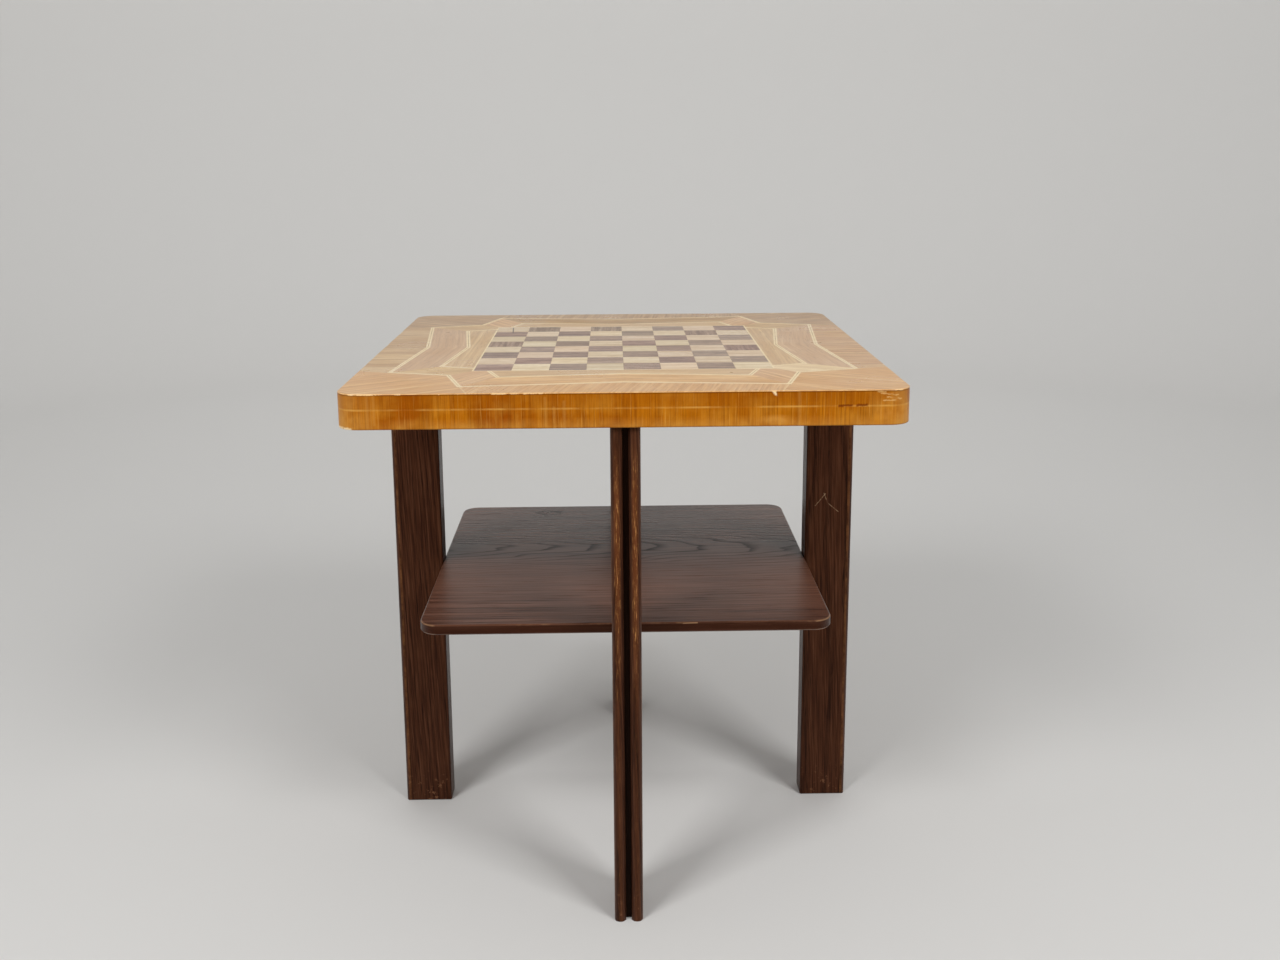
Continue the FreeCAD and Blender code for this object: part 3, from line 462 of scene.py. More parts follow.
# turned steel gone dull: grey with a brown bloom, duller where the bloom is thick
steel, tree, shader, place = new_finish("turned_dull_steel")
bloom = add(tree, "TexNoise", {"Vector": place, "Scale": 0.7, "Detail": 4})[0]
colour = add(tree, "ValToRGB", {0: bloom}, stops=[(0.35, "8f8d89"), (0.6, "7a7670"), (0.75, "6b5848")])[0]
rough = add(tree, "MapRange", {0: bloom, 1: 0.3, 2: 0.7, 3: 0.3, 4: 0.55})[0]
feed(tree, shader.inputs, {"Base Color": colour, "Roughness": rough, "Metallic": 1.0})

head_radius = SCREW_HEAD[0][0]
head_height = SCREW_HEAD[-1][1]
slot_floor = [(head_radius, 0.0), (head_radius, SLOT_DEPTH - head_height)]
dome = [(radius, -height) for radius, height in SCREW_HEAD]
shank = [(SCREW_RADIUS, 0.0), (SCREW_RADIUS, SCREW_LENGTH - SCREW_POINT), (0.3, SCREW_LENGTH)]
screws = bmesh.new()
for number, (x, y) in enumerate(CROSS_CORNERS):
    turn = Matrix.Rotation(math.radians(25 + 40 * number), 4, "Z")
    spot = Matrix.Translation((x * SCREW_PLACE, y * SCREW_PLACE, SCREW_LEVEL))
    for profile, keep in ((shank, None), (dome, 1), (dome, -1), (slot_floor, None)):
        solid = turned_solid(profile, keep)
        bmesh.ops.transform(solid, matrix=Matrix.Scale(0.001, 4) @ spot @ turn, verts=solid.verts)
        bmesh.ops.recalc_face_normals(solid, faces=solid.faces)
        part = bpy.data.meshes.new("screw_part")
        solid.to_mesh(part)
        solid.free()
        screws.from_mesh(part)
        bpy.data.meshes.remove(part)
new_piece("slotted_block_screws", screws, ["block_screws"], [steel])

# Edge veneer: thin leaves glued round the built-up edge with their grain upright, bent round the corners.
# Amber lacquer; the joint between core and edge rails shows through as a fine pale line, cracked in places.
# The upper arris is rubbed and chipped through the lacquer to pale wood.

TOP_LEVEL = 612.0
RAIL_LEVEL = 574.0
CORE_JOINT = 595.0
TOP_HALF = 300.0
TOP_CORNER = 24.0
TOP_STRAIGHT = TOP_HALF - TOP_CORNER
RIM_STEP = 2.0
CORNER_STEPS = 18
EDGE_THICK = 1.0
LOWER_ARRIS = 0.9
ARRIS_LEAST = 0.7
ARRIS_WORN = 0.9
# wear comes and goes along the rim at one length, and its edge is ragged at another
WEAR_LENGTH = 38.0
RAGGED_LENGTH = 5.0
WEAR_START = 609.9
WEAR_RISE = 0.8
JOINT_SUNK = 0.16
JOINT_HALF = 0.7
EDGE_ROWS = (574.0, 574.12, 574.3, 574.55, 574.9, 580.0, 588.0, 593.9, 594.5, 595.0, 595.5, 596.1, 602.0, 607.5,
             609.6, 610.0, 610.3, 610.6, 610.8, 611.0)
TURNS = {"right": 0, "back": 1, "left": 2, "front": 3}
# worn stretches of the front arris: middle, half length and strength
FRONT_WEAR = ((-268, 24, 0.85), (-233, 6, 0.7), (-190, 5, 0.55), (-172, 4, 0.5), (-130, 10, 1.0), (-100, 26, 0.75),
              (-45, 36, 0.4), (155, 4, 0.9), (230, 6, 0.4), (284, 10, 0.7))
# cracks along the joint, pale upright lines, chips of the arrises and scratches near the right end of the front
EDGE_CRACKS = (((222, -300, 595), (235, -300, 595.4)), ((241, -300, 595.6), (251, -300, 595.8)))
EDGE_LINES = (((-266, -300, 576), (-265.5, -300, 610)), ((-259, -300, 580), (-259, -300, 609)),
              ((-82, -300, 577), (-82.5, -300, 606)), ((-73, -300, 575), (-73.5, -300, 596)),
              ((-63, -300, 575), (-63, -300, 602)), ((181, -300, 575), (180.5, -300, 610)))
EDGE_CHIPS = (((154, -300, 611), (156, -300, 608)), ((-299.5, -282, 574.6), (-293.5, -293, 575.2)),
              ((-291, -295, 574.8), (-284, -298.5, 574.6)))
EDGE_SCRATCHES = (((266, -300, 608), (284, -299, 606)), ((268, -300, 600.5), (281, -300, 601)),
                  ((272, -300, 604), (288, -297.5, 602)), ((262, -300, 610), (270, -300, 609.5)))
WORN_PATCH = (158, -300, 579)
PATCH_REACH = (28, 20, 8)
# streaks, dark lines and pale lines of the upright grain, drawn coarser than real pores so that they show
EDGE_LAYERS = ((5.0, 130, 0.28, 0.72), (1.5, 110, 0.5, 0.66), (1.3, 50, 0.57, 0.72))
# clouds in the lacquer: start of the noise, width, height, tone and greatest share
EDGE_CLOUDS = ((0, 46, 60, "873a04", 0.7), (300, 34, 26, "c4862a", 0.45), (700, 9, 30, "743604", 0.3))
# dark lines along the arrises: two heights and the greatest share; under the upper arris it is painted shade, along
# the lower arris the edge turns darker
ARRIS_DARK_LINES = ((TOP_LEVEL - 3, TOP_LEVEL - 1.4, 0.55), (RAIL_LEVEL + 1.6, RAIL_LEVEL + 0.4, 0.5))
ARRIS_DARK = "4c2405"
DARK_LINE = "6c3404"
PALE_LINE = "d79c45"
# paler: painted light round the corners, and thin lacquer low down and on the worn patch
THIN_LACQUER_AND_LIGHT = "cd9546"
THICK_LACQUER = "8a4404"
JOINT_LINE = "d8a452"
BARE_WOOD = "e6c089"


def arris_wear(x, y):
    """How far the arris is worn at a place on the rim, from 0 to 1."""
    worn = max(0.0, noise.noise(Vector((x / WEAR_LENGTH, y / WEAR_LENGTH, 3.7))) * 1.5 - 0.25)
    if y < -TOP_STRAIGHT:
        worn *= 0.35
        for middle, half, strength in FRONT_WEAR:
            worn = max(worn, strength * max(0.0, 1 - ((x - middle) / half) ** 2) ** 0.5)
    ragged = 0.75 + 0.5 * noise.noise(Vector((x / RAGGED_LENGTH, y / RAGGED_LENGTH, 9.1)))
    return min(1.0, worn * ragged)


def rim_inset(x, y, height):
    """Distance that the rounded arrises and the core joint stand back from the rim."""
    radius = ARRIS_LEAST + ARRIS_WORN * arris_wear(x, y)
    inset = 0.0
    above = height - (TOP_LEVEL - radius)
    if above > 0:
        inset = radius - math.sqrt(max(0.0, radius ** 2 - above ** 2))
    below = RAIL_LEVEL + LOWER_ARRIS - height
    if below > 0:
        inset = LOWER_ARRIS - math.sqrt(max(0.0, LOWER_ARRIS ** 2 - below ** 2))
    return inset + JOINT_SUNK * max(0.0, 1 - abs(height - CORE_JOINT) / JOINT_HALF)


def rim_run(bent):
    """Points of one side's rim, facing +X, with their outward directions; bent takes in both corners."""
    steps = round(2 * TOP_STRAIGHT / RIM_STEP)
    run = [(-TOP_STRAIGHT + 2 * TOP_STRAIGHT * step / steps, 0.0) for step in range(steps + 1)]
    if bent:
        corner = [(TOP_STRAIGHT, math.radians(90 * step / CORNER_STEPS)) for step in range(1, CORNER_STEPS + 1)]
        run = [(-y, -angle) for y, angle in reversed(corner)] + run + corner
    return [(Vector((TOP_STRAIGHT, y)), Vector((math.cos(angle), math.sin(angle)))) for y, angle in run]


def quarter_turned(point, turn):
    """Plan point turned anticlockwise by quarter turns."""
    x, y = point
    for _ in range(turn):
        x, y = -y, x
    return x, y


def bared_share(tree, place):
    """Share from 0 to 1 of bare wood where the arris is worn, with a ragged rim to the lacquer."""
    wear = add(tree, "Attribute", attribute_name="wear")["Fac"]
    ragged = add(tree, "TexNoise", {"Vector": place, "Scale": 0.45, "Detail": 4})[0]
    bare = add(tree, "Math", {0: ragged, 1: wear}, operation="ADD")[0]
    return add(tree, "MapRange", {0: bare, 1: 0.92, 2: 1.08, 3: 0, 4: 0.9})[0]


# amber lacquer over upright grain: clear golden brown, with soft red and yellow clouds and fine upright lines
amber, tree, shader, place = new_finish("amber_lacquered_edge_veneer")
rings, streak, line, glint = timber_figure(tree, place, (900, 700), 0.02, 14, (80, 400, 9), EDGE_LAYERS)
colour = add(tree, "ValToRGB", {0: streak}, stops=[(0.0, "975209"), (0.5, "a9610b"), (1.0, "b87012")])[0]
layers = []
for offset, wide, tall, code, most in EDGE_CLOUDS:
    cloud = add(tree, "VectorMath", {0: place, 1: (1 / wide, 1 / wide, 1 / tall), 2: (offset, offset, offset)},
                operation="MULTIPLY_ADD")[0]
    cloud = add(tree, "TexNoise", {"Vector": cloud, "Scale": 1, "Detail": 3})[0]
    layers.append((code, add(tree, "MapRange", {0: cloud, 1: 0.45, 2: 0.68, 3: 0, 4: most})[0]))
layers += [(DARK_LINE, line, 0.5), (PALE_LINE, glint, 0.42)]
# paler round the corners as painted light, where they turn to the lamps; the lacquer is thinner low down and on a
# worn patch, thicker higher up, and darker by the arrises
outward, sideways, height = folded_plan(tree, place)
thin_and_lit = add(tree, "MapRange", {0: sideways, 1: TOP_STRAIGHT - 26, 2: TOP_STRAIGHT + 8, 3: 0, 4: 0.6})[0]
near_foot = add(tree, "MapRange", {0: height, 1: RAIL_LEVEL + 12, 2: RAIL_LEVEL + 1, 3: 0, 4: 0.4})[0]
patch = off_spot(tree, place, WORN_PATCH, PATCH_REACH)
patch = add(tree, "MapRange", {0: patch, 1: 0.3, 2: 1, 3: 0.75, 4: 0})[0]
for share in (near_foot, patch):
    thin_and_lit = add(tree, "Math", {0: thin_and_lit, 1: share}, operation="MAXIMUM")[0]
rubbing = add(tree, "TexNoise", {"Vector": place, "Scale": 0.05, "Detail": 4})[0]
rubbing = add(tree, "MapRange", {0: rubbing, 1: 0.35, 2: 0.62, 3: 0.25, 4: 1})[0]
thick = add(tree, "MapRange", {0: height, 1: CORE_JOINT - 4, 2: CORE_JOINT + 11, 3: 0, 4: 0.35})[0]
layers += [(THIN_LACQUER_AND_LIGHT, thin_and_lit, rubbing), (THICK_LACQUER, thick)]
# painted shade under the upper arris, and darker towards the lower arris
for start, end, most in ARRIS_DARK_LINES:
    layers.append((ARRIS_DARK, add(tree, "MapRange", {0: height, 1: start, 2: end, 3: 0, 4: most})[0]))
# the joint shows as a broken pale line
pale_line = off_level(tree, height, CORE_JOINT)
pale_line = add(tree, "MapRange", {0: pale_line, 1: 1.5, 2: 0.3, 3: 0, 4: 0.55})[0]
broken = add(tree, "TexNoise", {"Vector": place, "Scale": 0.02, "Detail": 5, "Roughness": 0.6})[0]
broken = add(tree, "MapRange", {0: broken, 1: 0.42, 2: 0.6, 3: 0.08, 4: 1})[0]
layers.append((JOINT_LINE, pale_line, broken))
ragged = shaken(tree, place, 0.3, (1.5, 0, 1.5))
for marks, spot, width, code, most in (
        (EDGE_LINES, place, 2.4, "dca653", 0.16), (EDGE_CRACKS, ragged, 1.9, "6b2a05", 0.85),
        (EDGE_CHIPS, ragged, 2.2, "efd6a8", 0.9), (EDGE_SCRATCHES, ragged, 1.0, "e2b877", 0.5)):
    layers += [(code, mark_along(tree, spot, start, end, width), most) for start, end in marks]
layers.append((BARE_WOOD, bared_share(tree, place)))
colour = laid_over(tree, colour, *layers)
rough = add(tree, "MapRange", {0: rubbing, 3: 0.26, 4: 0.42})[0]
bump = add(tree, "Bump", {"Strength": 0.12, "Distance": 0.0003, "Height": line}, invert=True)[0]
feed(tree, shader.inputs, {"Base Color": colour, "Roughness": rough, "Normal": bump, "IOR": 1.48,
                           "Specular Tint": linear("8a5a24")})

for side, turn in TURNS.items():
    strip = bmesh.new()
    wear = {}
    columns = []
    for centre, outward in rim_run(side in ("front", "back")):
        rim = quarter_turned(centre + outward * TOP_CORNER, turn)
        away = quarter_turned(outward, turn)
        worn = arris_wear(*rim)
        # up the outer face, then down the glued one
        section = [(height, rim_inset(*rim, height), worn) for height in EDGE_ROWS]
        section += [(height, EDGE_THICK, 0.0) for height in (EDGE_ROWS[-1], EDGE_ROWS[0])]
        column = []
        for height, inset, share in section:
            spot = ((rim[0] - away[0] * inset) / 1000, (rim[1] - away[1] * inset) / 1000, height / 1000)
            column.append(strip.verts.new(spot))
            wear[column[-1]] = share * max(0.0, min(1.0, (height - WEAR_START) / WEAR_RISE))
        columns.append(column)
    skin(strip, columns)
    new_piece("edge_leaf_" + side, strip, ["edge_veneer_" + side], [amber], wear)

# Outer field: eight leaves of cherry between the outer string and the edge, their grain spread like rays.
# Sliced veneer, glued to the core, lacquered and rubbed; the outer arris is rounded with the edge below it.

FIELD_ROWS = (611.0, 611.2, 611.4, 611.6, 611.75, 611.87, 611.95, 612.0)
# a leaf's tones: dark, middle and pale streaks, pores and broad figure
FIELD_FRONT = ("c08c52", "dfaf74", "eac690", "ac7b4c", "cf9c63")
FIELD_LEFT = ("b0895a", "d8b483", "ead0a4", "9a7048", "b98f60")
FIELD_RIGHT = ("b08657", "dcb584", "eed2a6", "9a6c46", "ba8458")
# the back leaves are the same cherry as the front ones, painted darker and greyer as shade, for the light falling
# off towards the back
FIELD_BACK_SHADED = ("9b7650", "c49f73", "d7b98f", "8b6848", "b28a60")
PALE_JOINT = "e9cb9a"
# broad figure, streaks and pores; the top is seen nearly edge on, so all are drawn wider than real veneer's,
# and twice as wide again on leaves with their grain from side to side
VENEER_LAYERS = ((9, 320, 0.38, 0.64), (3.6, 160, 0.32, 0.68), (1.6, 22, 0.54, 0.7))
WIDER = 2.0
FIELD_JOINT = ((263, 175, TOP_LEVEL), (300, 164, TOP_LEVEL))
ON_RIM = 0.05
ROUNDED_PAST = 0.5
# each leaf has its tones, the heading of its grain in degrees from the X axis, and the start of its figure
FIELD_LEAVES = {
    "right": (FIELD_RIGHT, 2, (40, 900, 0)), "left": (FIELD_LEFT, -3, (700, 130, 0)),
    "front": (FIELD_FRONT, 76, (300, 300, 0)), "back": (FIELD_BACK_SHADED, 84, (950, 60, 0)),
    "back_right": (FIELD_BACK_SHADED, 28, (500, 420, 0)), "back_left": (FIELD_BACK_SHADED, -32, (820, 610, 0)),
    "front_left": (FIELD_FRONT, 31, (130, 760, 0)), "front_right": (FIELD_FRONT, -27, (610, 240, 0))}


def leaf_fibre(tree, place, heading, mirror, start):
    """Place in a leaf of veneer, with its Z along the grain, which heads so many degrees from the X axis.
    Book-matched leaves mirror the figure about an axis of the table."""
    parts = list(add(tree, "SeparateXYZ", {0: place}))
    if mirror is not None:
        parts[mirror] = add(tree, "Math", {0: parts[mirror]}, operation="ABSOLUTE")[0]
    folded = add(tree, "CombineXYZ", {0: parts[0], 1: parts[1], 2: parts[2]})[0]
    turn = (0, 0, -math.radians(heading))
    turned = add(tree, "Mapping", {"Vector": folded, "Rotation": turn, "Location": start})[0]
    parts = add(tree, "SeparateXYZ", {0: turned})
    return add(tree, "CombineXYZ", {0: parts[1], 1: parts[2], 2: parts[0]})[0]


def veneer_finish(name, tones, heading, start, mirror=None, widen=1.0):
    """Sliced veneer under thin lacquer, rubbed smooth: a broad figure, fine streaks and short pores, and a soft
    shine that turns bright where it is seen low. Gives the colour as well, for wear to be laid on it."""
    material, tree, shader, place = new_finish(name)
    fibre = leaf_fibre(tree, place, heading, mirror, start)
    layers = [(width * widen, length, low, high) for width, length, low, high in VENEER_LAYERS]
    rings, broad, streak, pore = timber_figure(tree, fibre, (30, 560), 0.09, 9, (60, 350, 7), layers)
    colour = add(tree, "ValToRGB", {0: streak}, stops=[(0.0, tones[0]), (0.5, tones[1]), (1.0, tones[2])])[0]
    late = add(tree, "MapRange", {0: rings, 1: 0.6, 2: 1.0, 3: 0, 4: 0.4})[0]
    colour = laid_over(tree, colour, (tones[4], broad, 0.8), (tones[0], late), (tones[3], pore, 0.55))
    rubbing = add(tree, "TexNoise", {"Vector": place, "Scale": 1 / 90, "Detail": 3})[0]
    rough = add(tree, "MapRange", {0: rubbing, 1: 0.3, 2: 0.7, 3: 0.25, 4: 0.36})[0]
    bump = add(tree, "Bump", {"Strength": 0.12, "Distance": 0.0003, "Height": pore}, invert=True)[0]
    feed(tree, shader.inputs, {"Base Color": colour, "Roughness": rough, "Normal": bump, "IOR": 1.5})
    return material, tree, shader, place, colour


def node_outline(name):
    """Plan of a CAD leaf in millimetres, anticlockwise, read from its upper face."""
    leaf = bmesh.new()
    leaf.from_mesh(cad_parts[name].data)
    bmesh.ops.remove_doubles(leaf, verts=leaf.verts, dist=1e-6)
    top = max(corner.co.z for corner in leaf.verts)
    face_up = [face for face in leaf.faces if all(abs(corner.co.z - top) < 1e-5 for corner in face.verts)]
    following = {}
    for face in face_up:
        for loop in face.loops:
            shared = [other for other in loop.edge.link_faces if other in face_up]
            if len(shared) == 1:
                following[loop.vert] = loop.link_loop_next.vert
    first = next(iter(following))
    outline = [first]
    while following[outline[-1]] is not first:
        outline.append(following[outline[-1]])
    points = [(corner.co.x * 1000, corner.co.y * 1000) for corner in outline]
    leaf.free()
    return points


def rim_reach(x, y):
    """Outward direction at a place on the rim, and how far inside the rim it is."""
    corner = Vector((max(abs(x) - TOP_STRAIGHT, 0.0), max(abs(y) - TOP_STRAIGHT, 0.0)))
    if corner.length < 1e-6:
        return Vector((0, 0)), TOP_HALF - max(abs(x), abs(y))
    outward = corner.normalized()
    return Vector((math.copysign(outward.x, x), math.copysign(outward.y, y))), TOP_CORNER - corner.length


def finer_outline(points):
    """Outline with extra points along its rim, each with its outward direction or none."""
    finer = []
    for number, (x, y) in enumerate(points):
        end = points[(number + 1) % len(points)]
        along_rim = rim_reach(x, y)[1] < ON_RIM and rim_reach(*end)[1] < ON_RIM
        length = math.hypot(end[0] - x, end[1] - y)
        steps = max(1, round(length / RIM_STEP)) if along_rim else 1
        for step in range(steps):
            spot = (x + (end[0] - x) * step / steps, y + (end[1] - y) * step / steps)
            outward, inside = rim_reach(*spot)
            finer.append((spot, outward if inside < ON_RIM else None))
    return finer


for leaf_name, (tones, heading, start) in FIELD_LEAVES.items():
    cherry, tree, shader, place, colour = veneer_finish(
        "lacquered_cherry_" + leaf_name, tones, heading, start, widen=WIDER if abs(heading) < 45 else 1.0)
    # joints between the leaves show as fine pale lines; folding the table on itself draws all eight as one
    outward, sideways, height = folded_plan(tree, place)
    folded = add(tree, "CombineXYZ", {0: outward, 1: sideways, 2: height})[0]
    joint = mark_along(tree, folded, *FIELD_JOINT, 1.3)
    colour = laid_over(tree, colour, (PALE_JOINT, joint, 0.6), (BARE_WOOD, bared_share(tree, place)))
    feed(tree, shader.inputs, {"Base Color": colour})
    node_name = "outer_field_" + leaf_name
    outline = finer_outline(node_outline(node_name))
    leaf = bmesh.new()
    wear = {}
    rings = []
    for height, past in [(row, 0.0) for row in FIELD_ROWS] + [(TOP_LEVEL, ROUNDED_PAST)]:
        ring = []
        for (x, y), outward in outline:
            inset = rim_inset(x, y, height) + past if outward else 0.0
            away = outward or Vector((0, 0))
            ring.append(leaf.verts.new(((x - away.x * inset) / 1000, (y - away.y * inset) / 1000, height / 1000)))
            wear[ring[-1]] = arris_wear(x, y) if outward and not past else 0.0
        rings.append(ring)
    skin(leaf, rings)
    # away from the rim the last two rings lie on each other
    bmesh.ops.remove_doubles(leaf, verts=leaf.verts, dist=1e-7)
    new_piece("outer_leaf_" + leaf_name, leaf, [node_name], [cherry], wear)

# Bands, band ends and inner fields: between the strings lie four bands, each two leaves matched about the middle
# of its side, a pair of end leaves at each corner, and a plain inner field next to the board.
# Sliced birch and cherry, lacquered and rubbed with the rest of the top.

BAND_FRONT = ("bf8c4e", "eabb7b", "f8d9a4", "a97a46", "c8935a")
# the back band is the same birch as the front one, painted darker as shade, for the light falling off towards the
# back
BAND_BACK_SHADED = ("9b7447", "c69c5f", "dab57e", "8b643d", "b08551")
BAND_SIDE = ("bd9670", "d5af86", "e0bf98", "a88260", "c79e74")
INNER = ("c4a073", "dab684", "e5c697", "ac885e", "cba373")
END_FRONT = ("be9164", "e2b783", "eecb9c", "a87d54", "cc9c6c")
END_SIDE = ("b89059", "deb87f", "ebcd9b", "a47a49", "bf9662")
END_PALE = ("d8b684", "f6dcae", "fdeac8", "c4a070", "dcba88")
PALE_END = "band_end_right_front"
# each band has the heading of its grain, the axis it is matched about, its tones and those of its ends
BANDS = {"front": (-6, 0, BAND_FRONT, END_FRONT), "back": (6, 0, BAND_BACK_SHADED, END_FRONT),
         "right": (84, 1, BAND_SIDE, END_SIDE), "left": (96, 1, BAND_SIDE, END_SIDE)}
END_SLANT = {0: 60, 1: 25}
RISING_ENDS = ("front_left", "back_right", "left_front", "right_back")

for side, (heading, mirror, tones, end_tones) in BANDS.items():
    widen = 1.0 if mirror else WIDER
    band = veneer_finish("lacquered_birch_band_" + side, tones, heading, (60, 210, 0), mirror, widen)[0]
    dress(["band_" + side], band)
    inner_field = veneer_finish("lacquered_birch_inner_" + side, INNER, 90 * mirror, (480, 330, 0), widen=widen)[0]
    dress(["inner_field_" + side], inner_field)
    ends = [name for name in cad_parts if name.startswith("band_end_%s_" % side)]
    for number, name in enumerate(ends):
        slant = END_SLANT[mirror] if name[len("band_end_"):] in RISING_ENDS else -END_SLANT[mirror]
        cut_tones = END_PALE if name == PALE_END else end_tones
        dress([name], veneer_finish("lacquered_cherry_" + name, cut_tones, slant, (90 * number, 700, 0))[0])

# Strings and border: narrow strips of maple let in between the veneers and round the board.
# Each string is two strips side by side; lacquer and dirt have darkened the hairline between them.

STRING_TONES = ("ebd0a0", "f7e0b4", "fdeed0", "d6b786", "eed6a8")
HAIRLINE = 0.6
STRING_WIDTH = 5.0

maple = veneer_finish("lacquered_maple_string", STRING_TONES, 0, (0, 0, 0))[0]
dress(["board_border"], maple)
# old glue in the hairline, brown and uneven, drawn wider than real so that it shows
glue, tree, shader, place = new_finish("browned_glue_hairline")
gaps = add(tree, "TexNoise", {"Vector": place, "Scale": 0.03, "Detail": 3})[0]
colour = add(tree, "ValToRGB", {0: gaps}, stops=[(0.4, "d6b585"), (0.6, "a88252")])[0]
rough = add(tree, "MapRange", {0: gaps, 3: 0.3, 4: 0.5})[0]
feed(tree, shader.inputs, {"Base Color": colour, "Roughness": rough})
for name in ("inner_string", "outer_string_sides", "outer_string_corners"):
    strip = bmesh.new()
    strip.from_mesh(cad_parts[name].data)
    bmesh.ops.remove_doubles(strip, verts=strip.verts, dist=1e-6)
    upper = [face for face in strip.faces if all(corner.co.z > (TOP_LEVEL - 0.01) / 1000 for corner in face.verts)]
    bmesh.ops.inset_region(strip, faces=upper, thickness=(STRING_WIDTH - HAIRLINE) / 2000, use_even_offset=True)
    for face in strip.faces:
        face.material_index = 1 if face in upper else 0
    new_piece("double_" + name, strip, [name], [maple, glue])

# Chess squares: 32 of walnut and 32 of maple, cut square and laid by turns, most with the grain from side to side.
# Each square is a cut of its own, so tone, tint and figure change from one to the next.

SQUARE = 42.4
BOARD_HALF = 4 * SQUARE
# broad figure, streaks, pores and a soft mottle, drawn wider than real because the top is seen nearly edge on
SQUARE_LAYERS = ((9, 200, 0.3, 0.7), (4.2, 150, 0.3, 0.7), (1.8, 16, 0.52, 0.68), (7, 10, 0.44, 0.64))
SQUARE_CRACK = ((-150, 166, TOP_LEVEL), (-147, 118, TOP_LEVEL))
CRACK = "4d382b"
WALNUT = ("755847", "a08069", "bb9f8a", "3c281d")
MAPLE = ("cfb189", "e3caa7", "efdbbf", "b4926a")


def square_finish(name, tones, spread, turned_share):
    """Lacquered veneer of the chess squares: streaks that stop at each joint, under a soft shine. Tones spread by
    so much from square to square, and a share of the squares has its grain turned to the front."""
    material, tree, shader, place = new_finish(name)
    from_corner = add(tree, "VectorMath", {0: place, 1: (BOARD_HALF, BOARD_HALF, 0)}, operation="ADD")[0]
    counted = add(tree, "VectorMath", {0: from_corner, 1: (1 / SQUARE, 1 / SQUARE, 0)}, operation="MULTIPLY")[0]
    square = add(tree, "VectorMath", {0: counted}, operation="FLOOR")[0]
    chance = add(tree, "TexWhiteNoise", {"Vector": square}, noise_dimensions="3D")
    shift = add(tree, "VectorMath", {0: chance["Color"], 1: (700, 700, 0)}, operation="MULTIPLY")[0]
    moved = add(tree, "VectorMath", {0: place, 1: shift}, operation="ADD")[0]
    parts = add(tree, "SeparateXYZ", {0: moved})
    along_x = add(tree, "CombineXYZ", {0: parts[1], 1: parts[2], 2: parts[0]})[0]
    along_y = add(tree, "CombineXYZ", {0: parts[0], 1: parts[2], 2: parts[1]})[0]
    turned = add(tree, "Math", {0: chance["Value"], 1: 1 - turned_share}, operation="GREATER_THAN")[0]
    fibre = add(tree, "Mix", {0: turned, 4: along_x, 5: along_y}, data_type="VECTOR")[1]
    rings, broad, streak, pore, mottle = timber_figure(
        tree, fibre, (380, 470), 0.05, 7, (40, 250, 3), SQUARE_LAYERS)
    blend = add(tree, "Math", {0: broad, 1: streak}, operation="ADD")[0]
    blend = add(tree, "Math", {0: blend, 1: 0.5}, operation="MULTIPLY")[0]
    colour = add(tree, "ValToRGB", {0: blend}, stops=[(0.2, tones[0]), (0.5, tones[1]), (0.8, tones[2])])[0]
    late = add(tree, "MapRange", {0: rings, 1: 0.6, 2: 1.0, 3: 0, 4: 0.2})[0]
    colour = laid_over(tree, colour, (tones[0], mottle, 0.4), (tones[3], pore, 0.5), (tones[0], late))
    own = add(tree, "SeparateXYZ", {0: chance["Color"]})
    tint = add(tree, "MapRange", {0: own[1], 3: 0.488, 4: 0.512})[0]
    tone = add(tree, "MapRange", {0: own[2], 3: 1 - spread, 4: 1 + spread})[0]
    colour = add(tree, "HueSaturation", {"Hue": tint, "Value": tone, "Color": colour})[0]
    colour = laid_over(tree, colour, (CRACK, mark_along(tree, place, *SQUARE_CRACK, 1.2)))
    rough = add(tree, "MapRange", {0: chance["Value"], 3: 0.27, 4: 0.36})[0]
    bump = add(tree, "Bump", {"Strength": 0.12, "Distance": 0.0003, "Height": pore}, invert=True)[0]
    feed(tree, shader.inputs, {"Base Color": colour, "Roughness": rough, "Normal": bump, "IOR": 1.5})
    return material


dress(["dark_squares"], square_finish("lacquered_walnut_squares", WALNUT, 0.13, 0.2))
dress(["light_squares"], square_finish("lacquered_maple_squares", MAPLE, 0.07, 0.0))

# Studio: a plain pale paper floor that curves up into a round backdrop, and two large soft lamps in front.
# A third lamp lights the backdrop behind the table.

FLOOR_REACH = 3.2
WALL_REACH = 4.6
WALL_TOP = 4.2
ROUND_STEPS = 96
BEND_STEPS = 16
bend = WALL_REACH - FLOOR_REACH
profile = [(FLOOR_REACH / 2, 0.0)]
for step in range(BEND_STEPS + 1):
    angle = math.pi / 2 * step / BEND_STEPS
    profile.append((FLOOR_REACH + bend * math.sin(angle), bend * (1 - math.cos(angle))))
profile.append((WALL_REACH, WALL_TOP))
bowl = bmesh.new()
rings = turned_rings(bowl, profile, ROUND_STEPS)
bowl.faces.new(rings[0])
for lower, upper in zip(rings, rings[1:]):
    for step in range(ROUND_STEPS):
        following = (step + 1) % ROUND_STEPS
        bowl.faces.new((lower[step], upper[step], upper[following], lower[following]))
bowl_mesh = bpy.data.meshes.new("studio_floor")
bowl.to_mesh(bowl_mesh)
bowl.free()
bowl_mesh.shade_smooth()
floor = bpy.data.objects.new("studio_floor", bowl_mesh)
bpy.context.scene.collection.objects.link(floor)
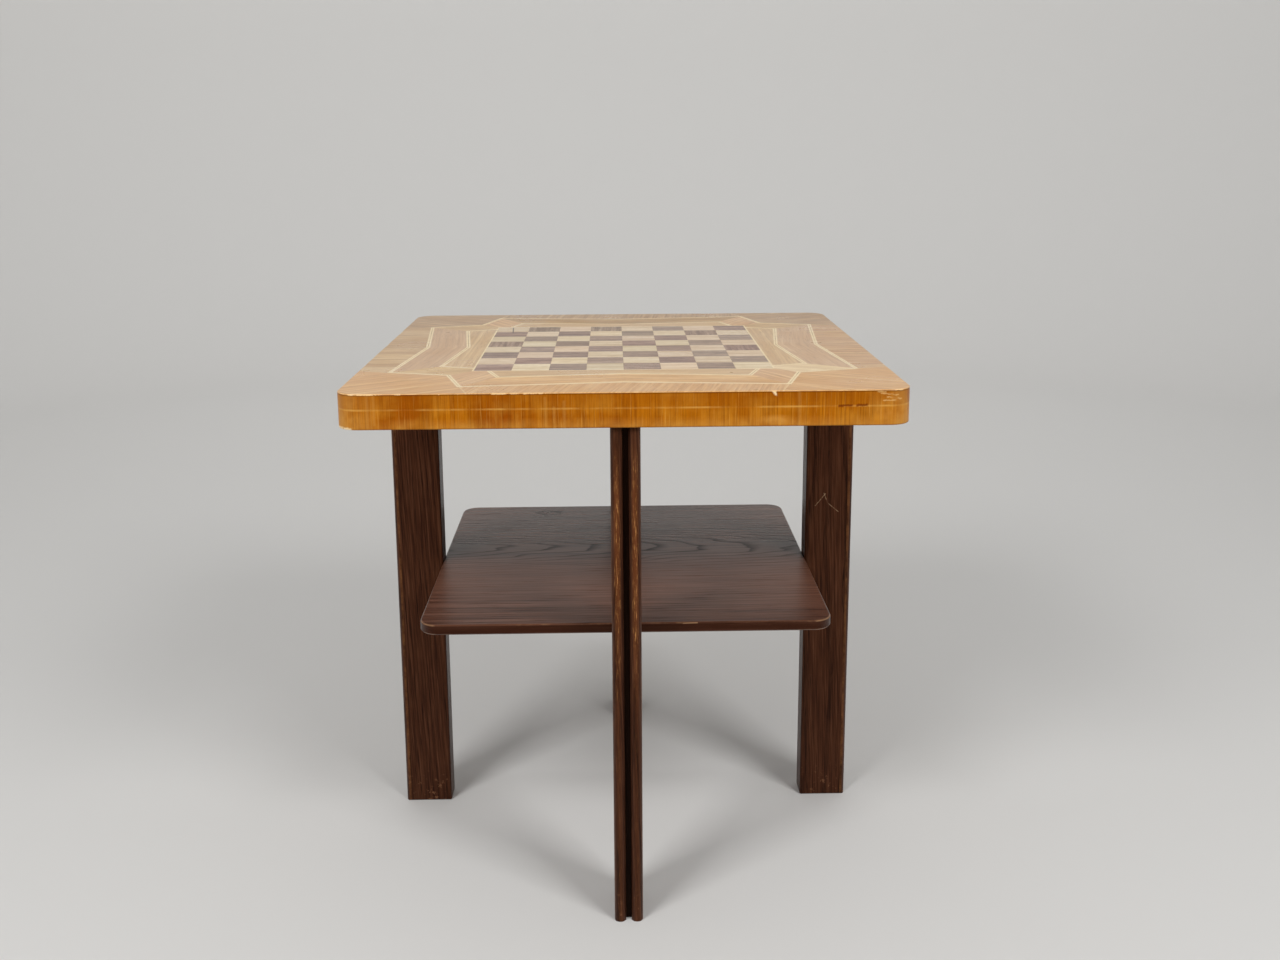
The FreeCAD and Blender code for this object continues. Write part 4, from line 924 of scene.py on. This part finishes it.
# matt paper: even, pale and without gloss
paper, tree, shader, place = new_finish("pale_studio_paper")
feed(tree, shader.inputs, {"Base Color": linear("d6d5d3"), "Roughness": 0.9})
bowl_mesh.materials.append(paper)
floor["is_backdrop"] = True

world = bpy.data.worlds.new("soft_studio")
world.use_nodes = True
feed(world.node_tree, world.node_tree.nodes["Background"].inputs, {"Color": linear("f0f0f0"), "Strength": 0.35})
bpy.context.scene.world = world

# name, place, aim, width, depth and power
LAMPS = (("lamp_left", (-1.6, -2.05, 2.35), (0, 0, 0.35), 1.0, 1.0, 52),
         ("lamp_right", (1.65, -2.0, 2.35), (0, 0, 0.35), 1.0, 1.0, 49),
         ("lamp_backdrop", (0, 1.9, 3.3), (0, 4.4, 1.0), 4.5, 0.7, 46))
for name, spot, aim, wide, deep, power in LAMPS:
    light = bpy.data.lights.new(name, "AREA")
    light.shape = "RECTANGLE"
    light.size = wide
    light.size_y = deep
    light.energy = power
    lamp = bpy.data.objects.new(name, light)
    lamp.location = spot
    lamp.rotation_mode = "QUATERNION"
    lamp.rotation_quaternion = (Vector(aim) - Vector(spot)).to_track_quat("-Z", "Y")
    lamp.visible_camera = False
    bpy.context.scene.collection.objects.link(lamp)

# Camera: at the photograph's place, fitted to the edges of the top, legs, shelf and board.
# The photograph is 1280 pixels wide; its axis lies a little above the middle of the frame.

FRAME_WIDTH = 1280
SENSOR_WIDTH = 36.0
FOCAL_PIXELS = 1265.23
AXIS_ABOVE_MIDDLE = 83.83
CAMERA_SPOT = (-0.01117, -1.57934, 0.86502)
YAW = 0.0208
PITCH = 0.1987
ROLL = -0.0054
view = bpy.data.cameras.new("photo_camera")
view.sensor_width = SENSOR_WIDTH
view.lens = FOCAL_PIXELS / FRAME_WIDTH * SENSOR_WIDTH
view.shift_y = -AXIS_ABOVE_MIDDLE / FRAME_WIDTH
camera = bpy.data.objects.new("photo_camera", view)
turn = Matrix.Rotation(-YAW, 4, "Z") @ Matrix.Rotation(math.pi / 2 - PITCH, 4, "X") @ Matrix.Rotation(ROLL, 4, "Z")
camera.matrix_world = Matrix.Translation(CAMERA_SPOT) @ turn
bpy.context.scene.collection.objects.link(camera)
bpy.context.scene.camera = camera
bpy.context.scene.view_settings.view_transform = "Standard"

low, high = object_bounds()
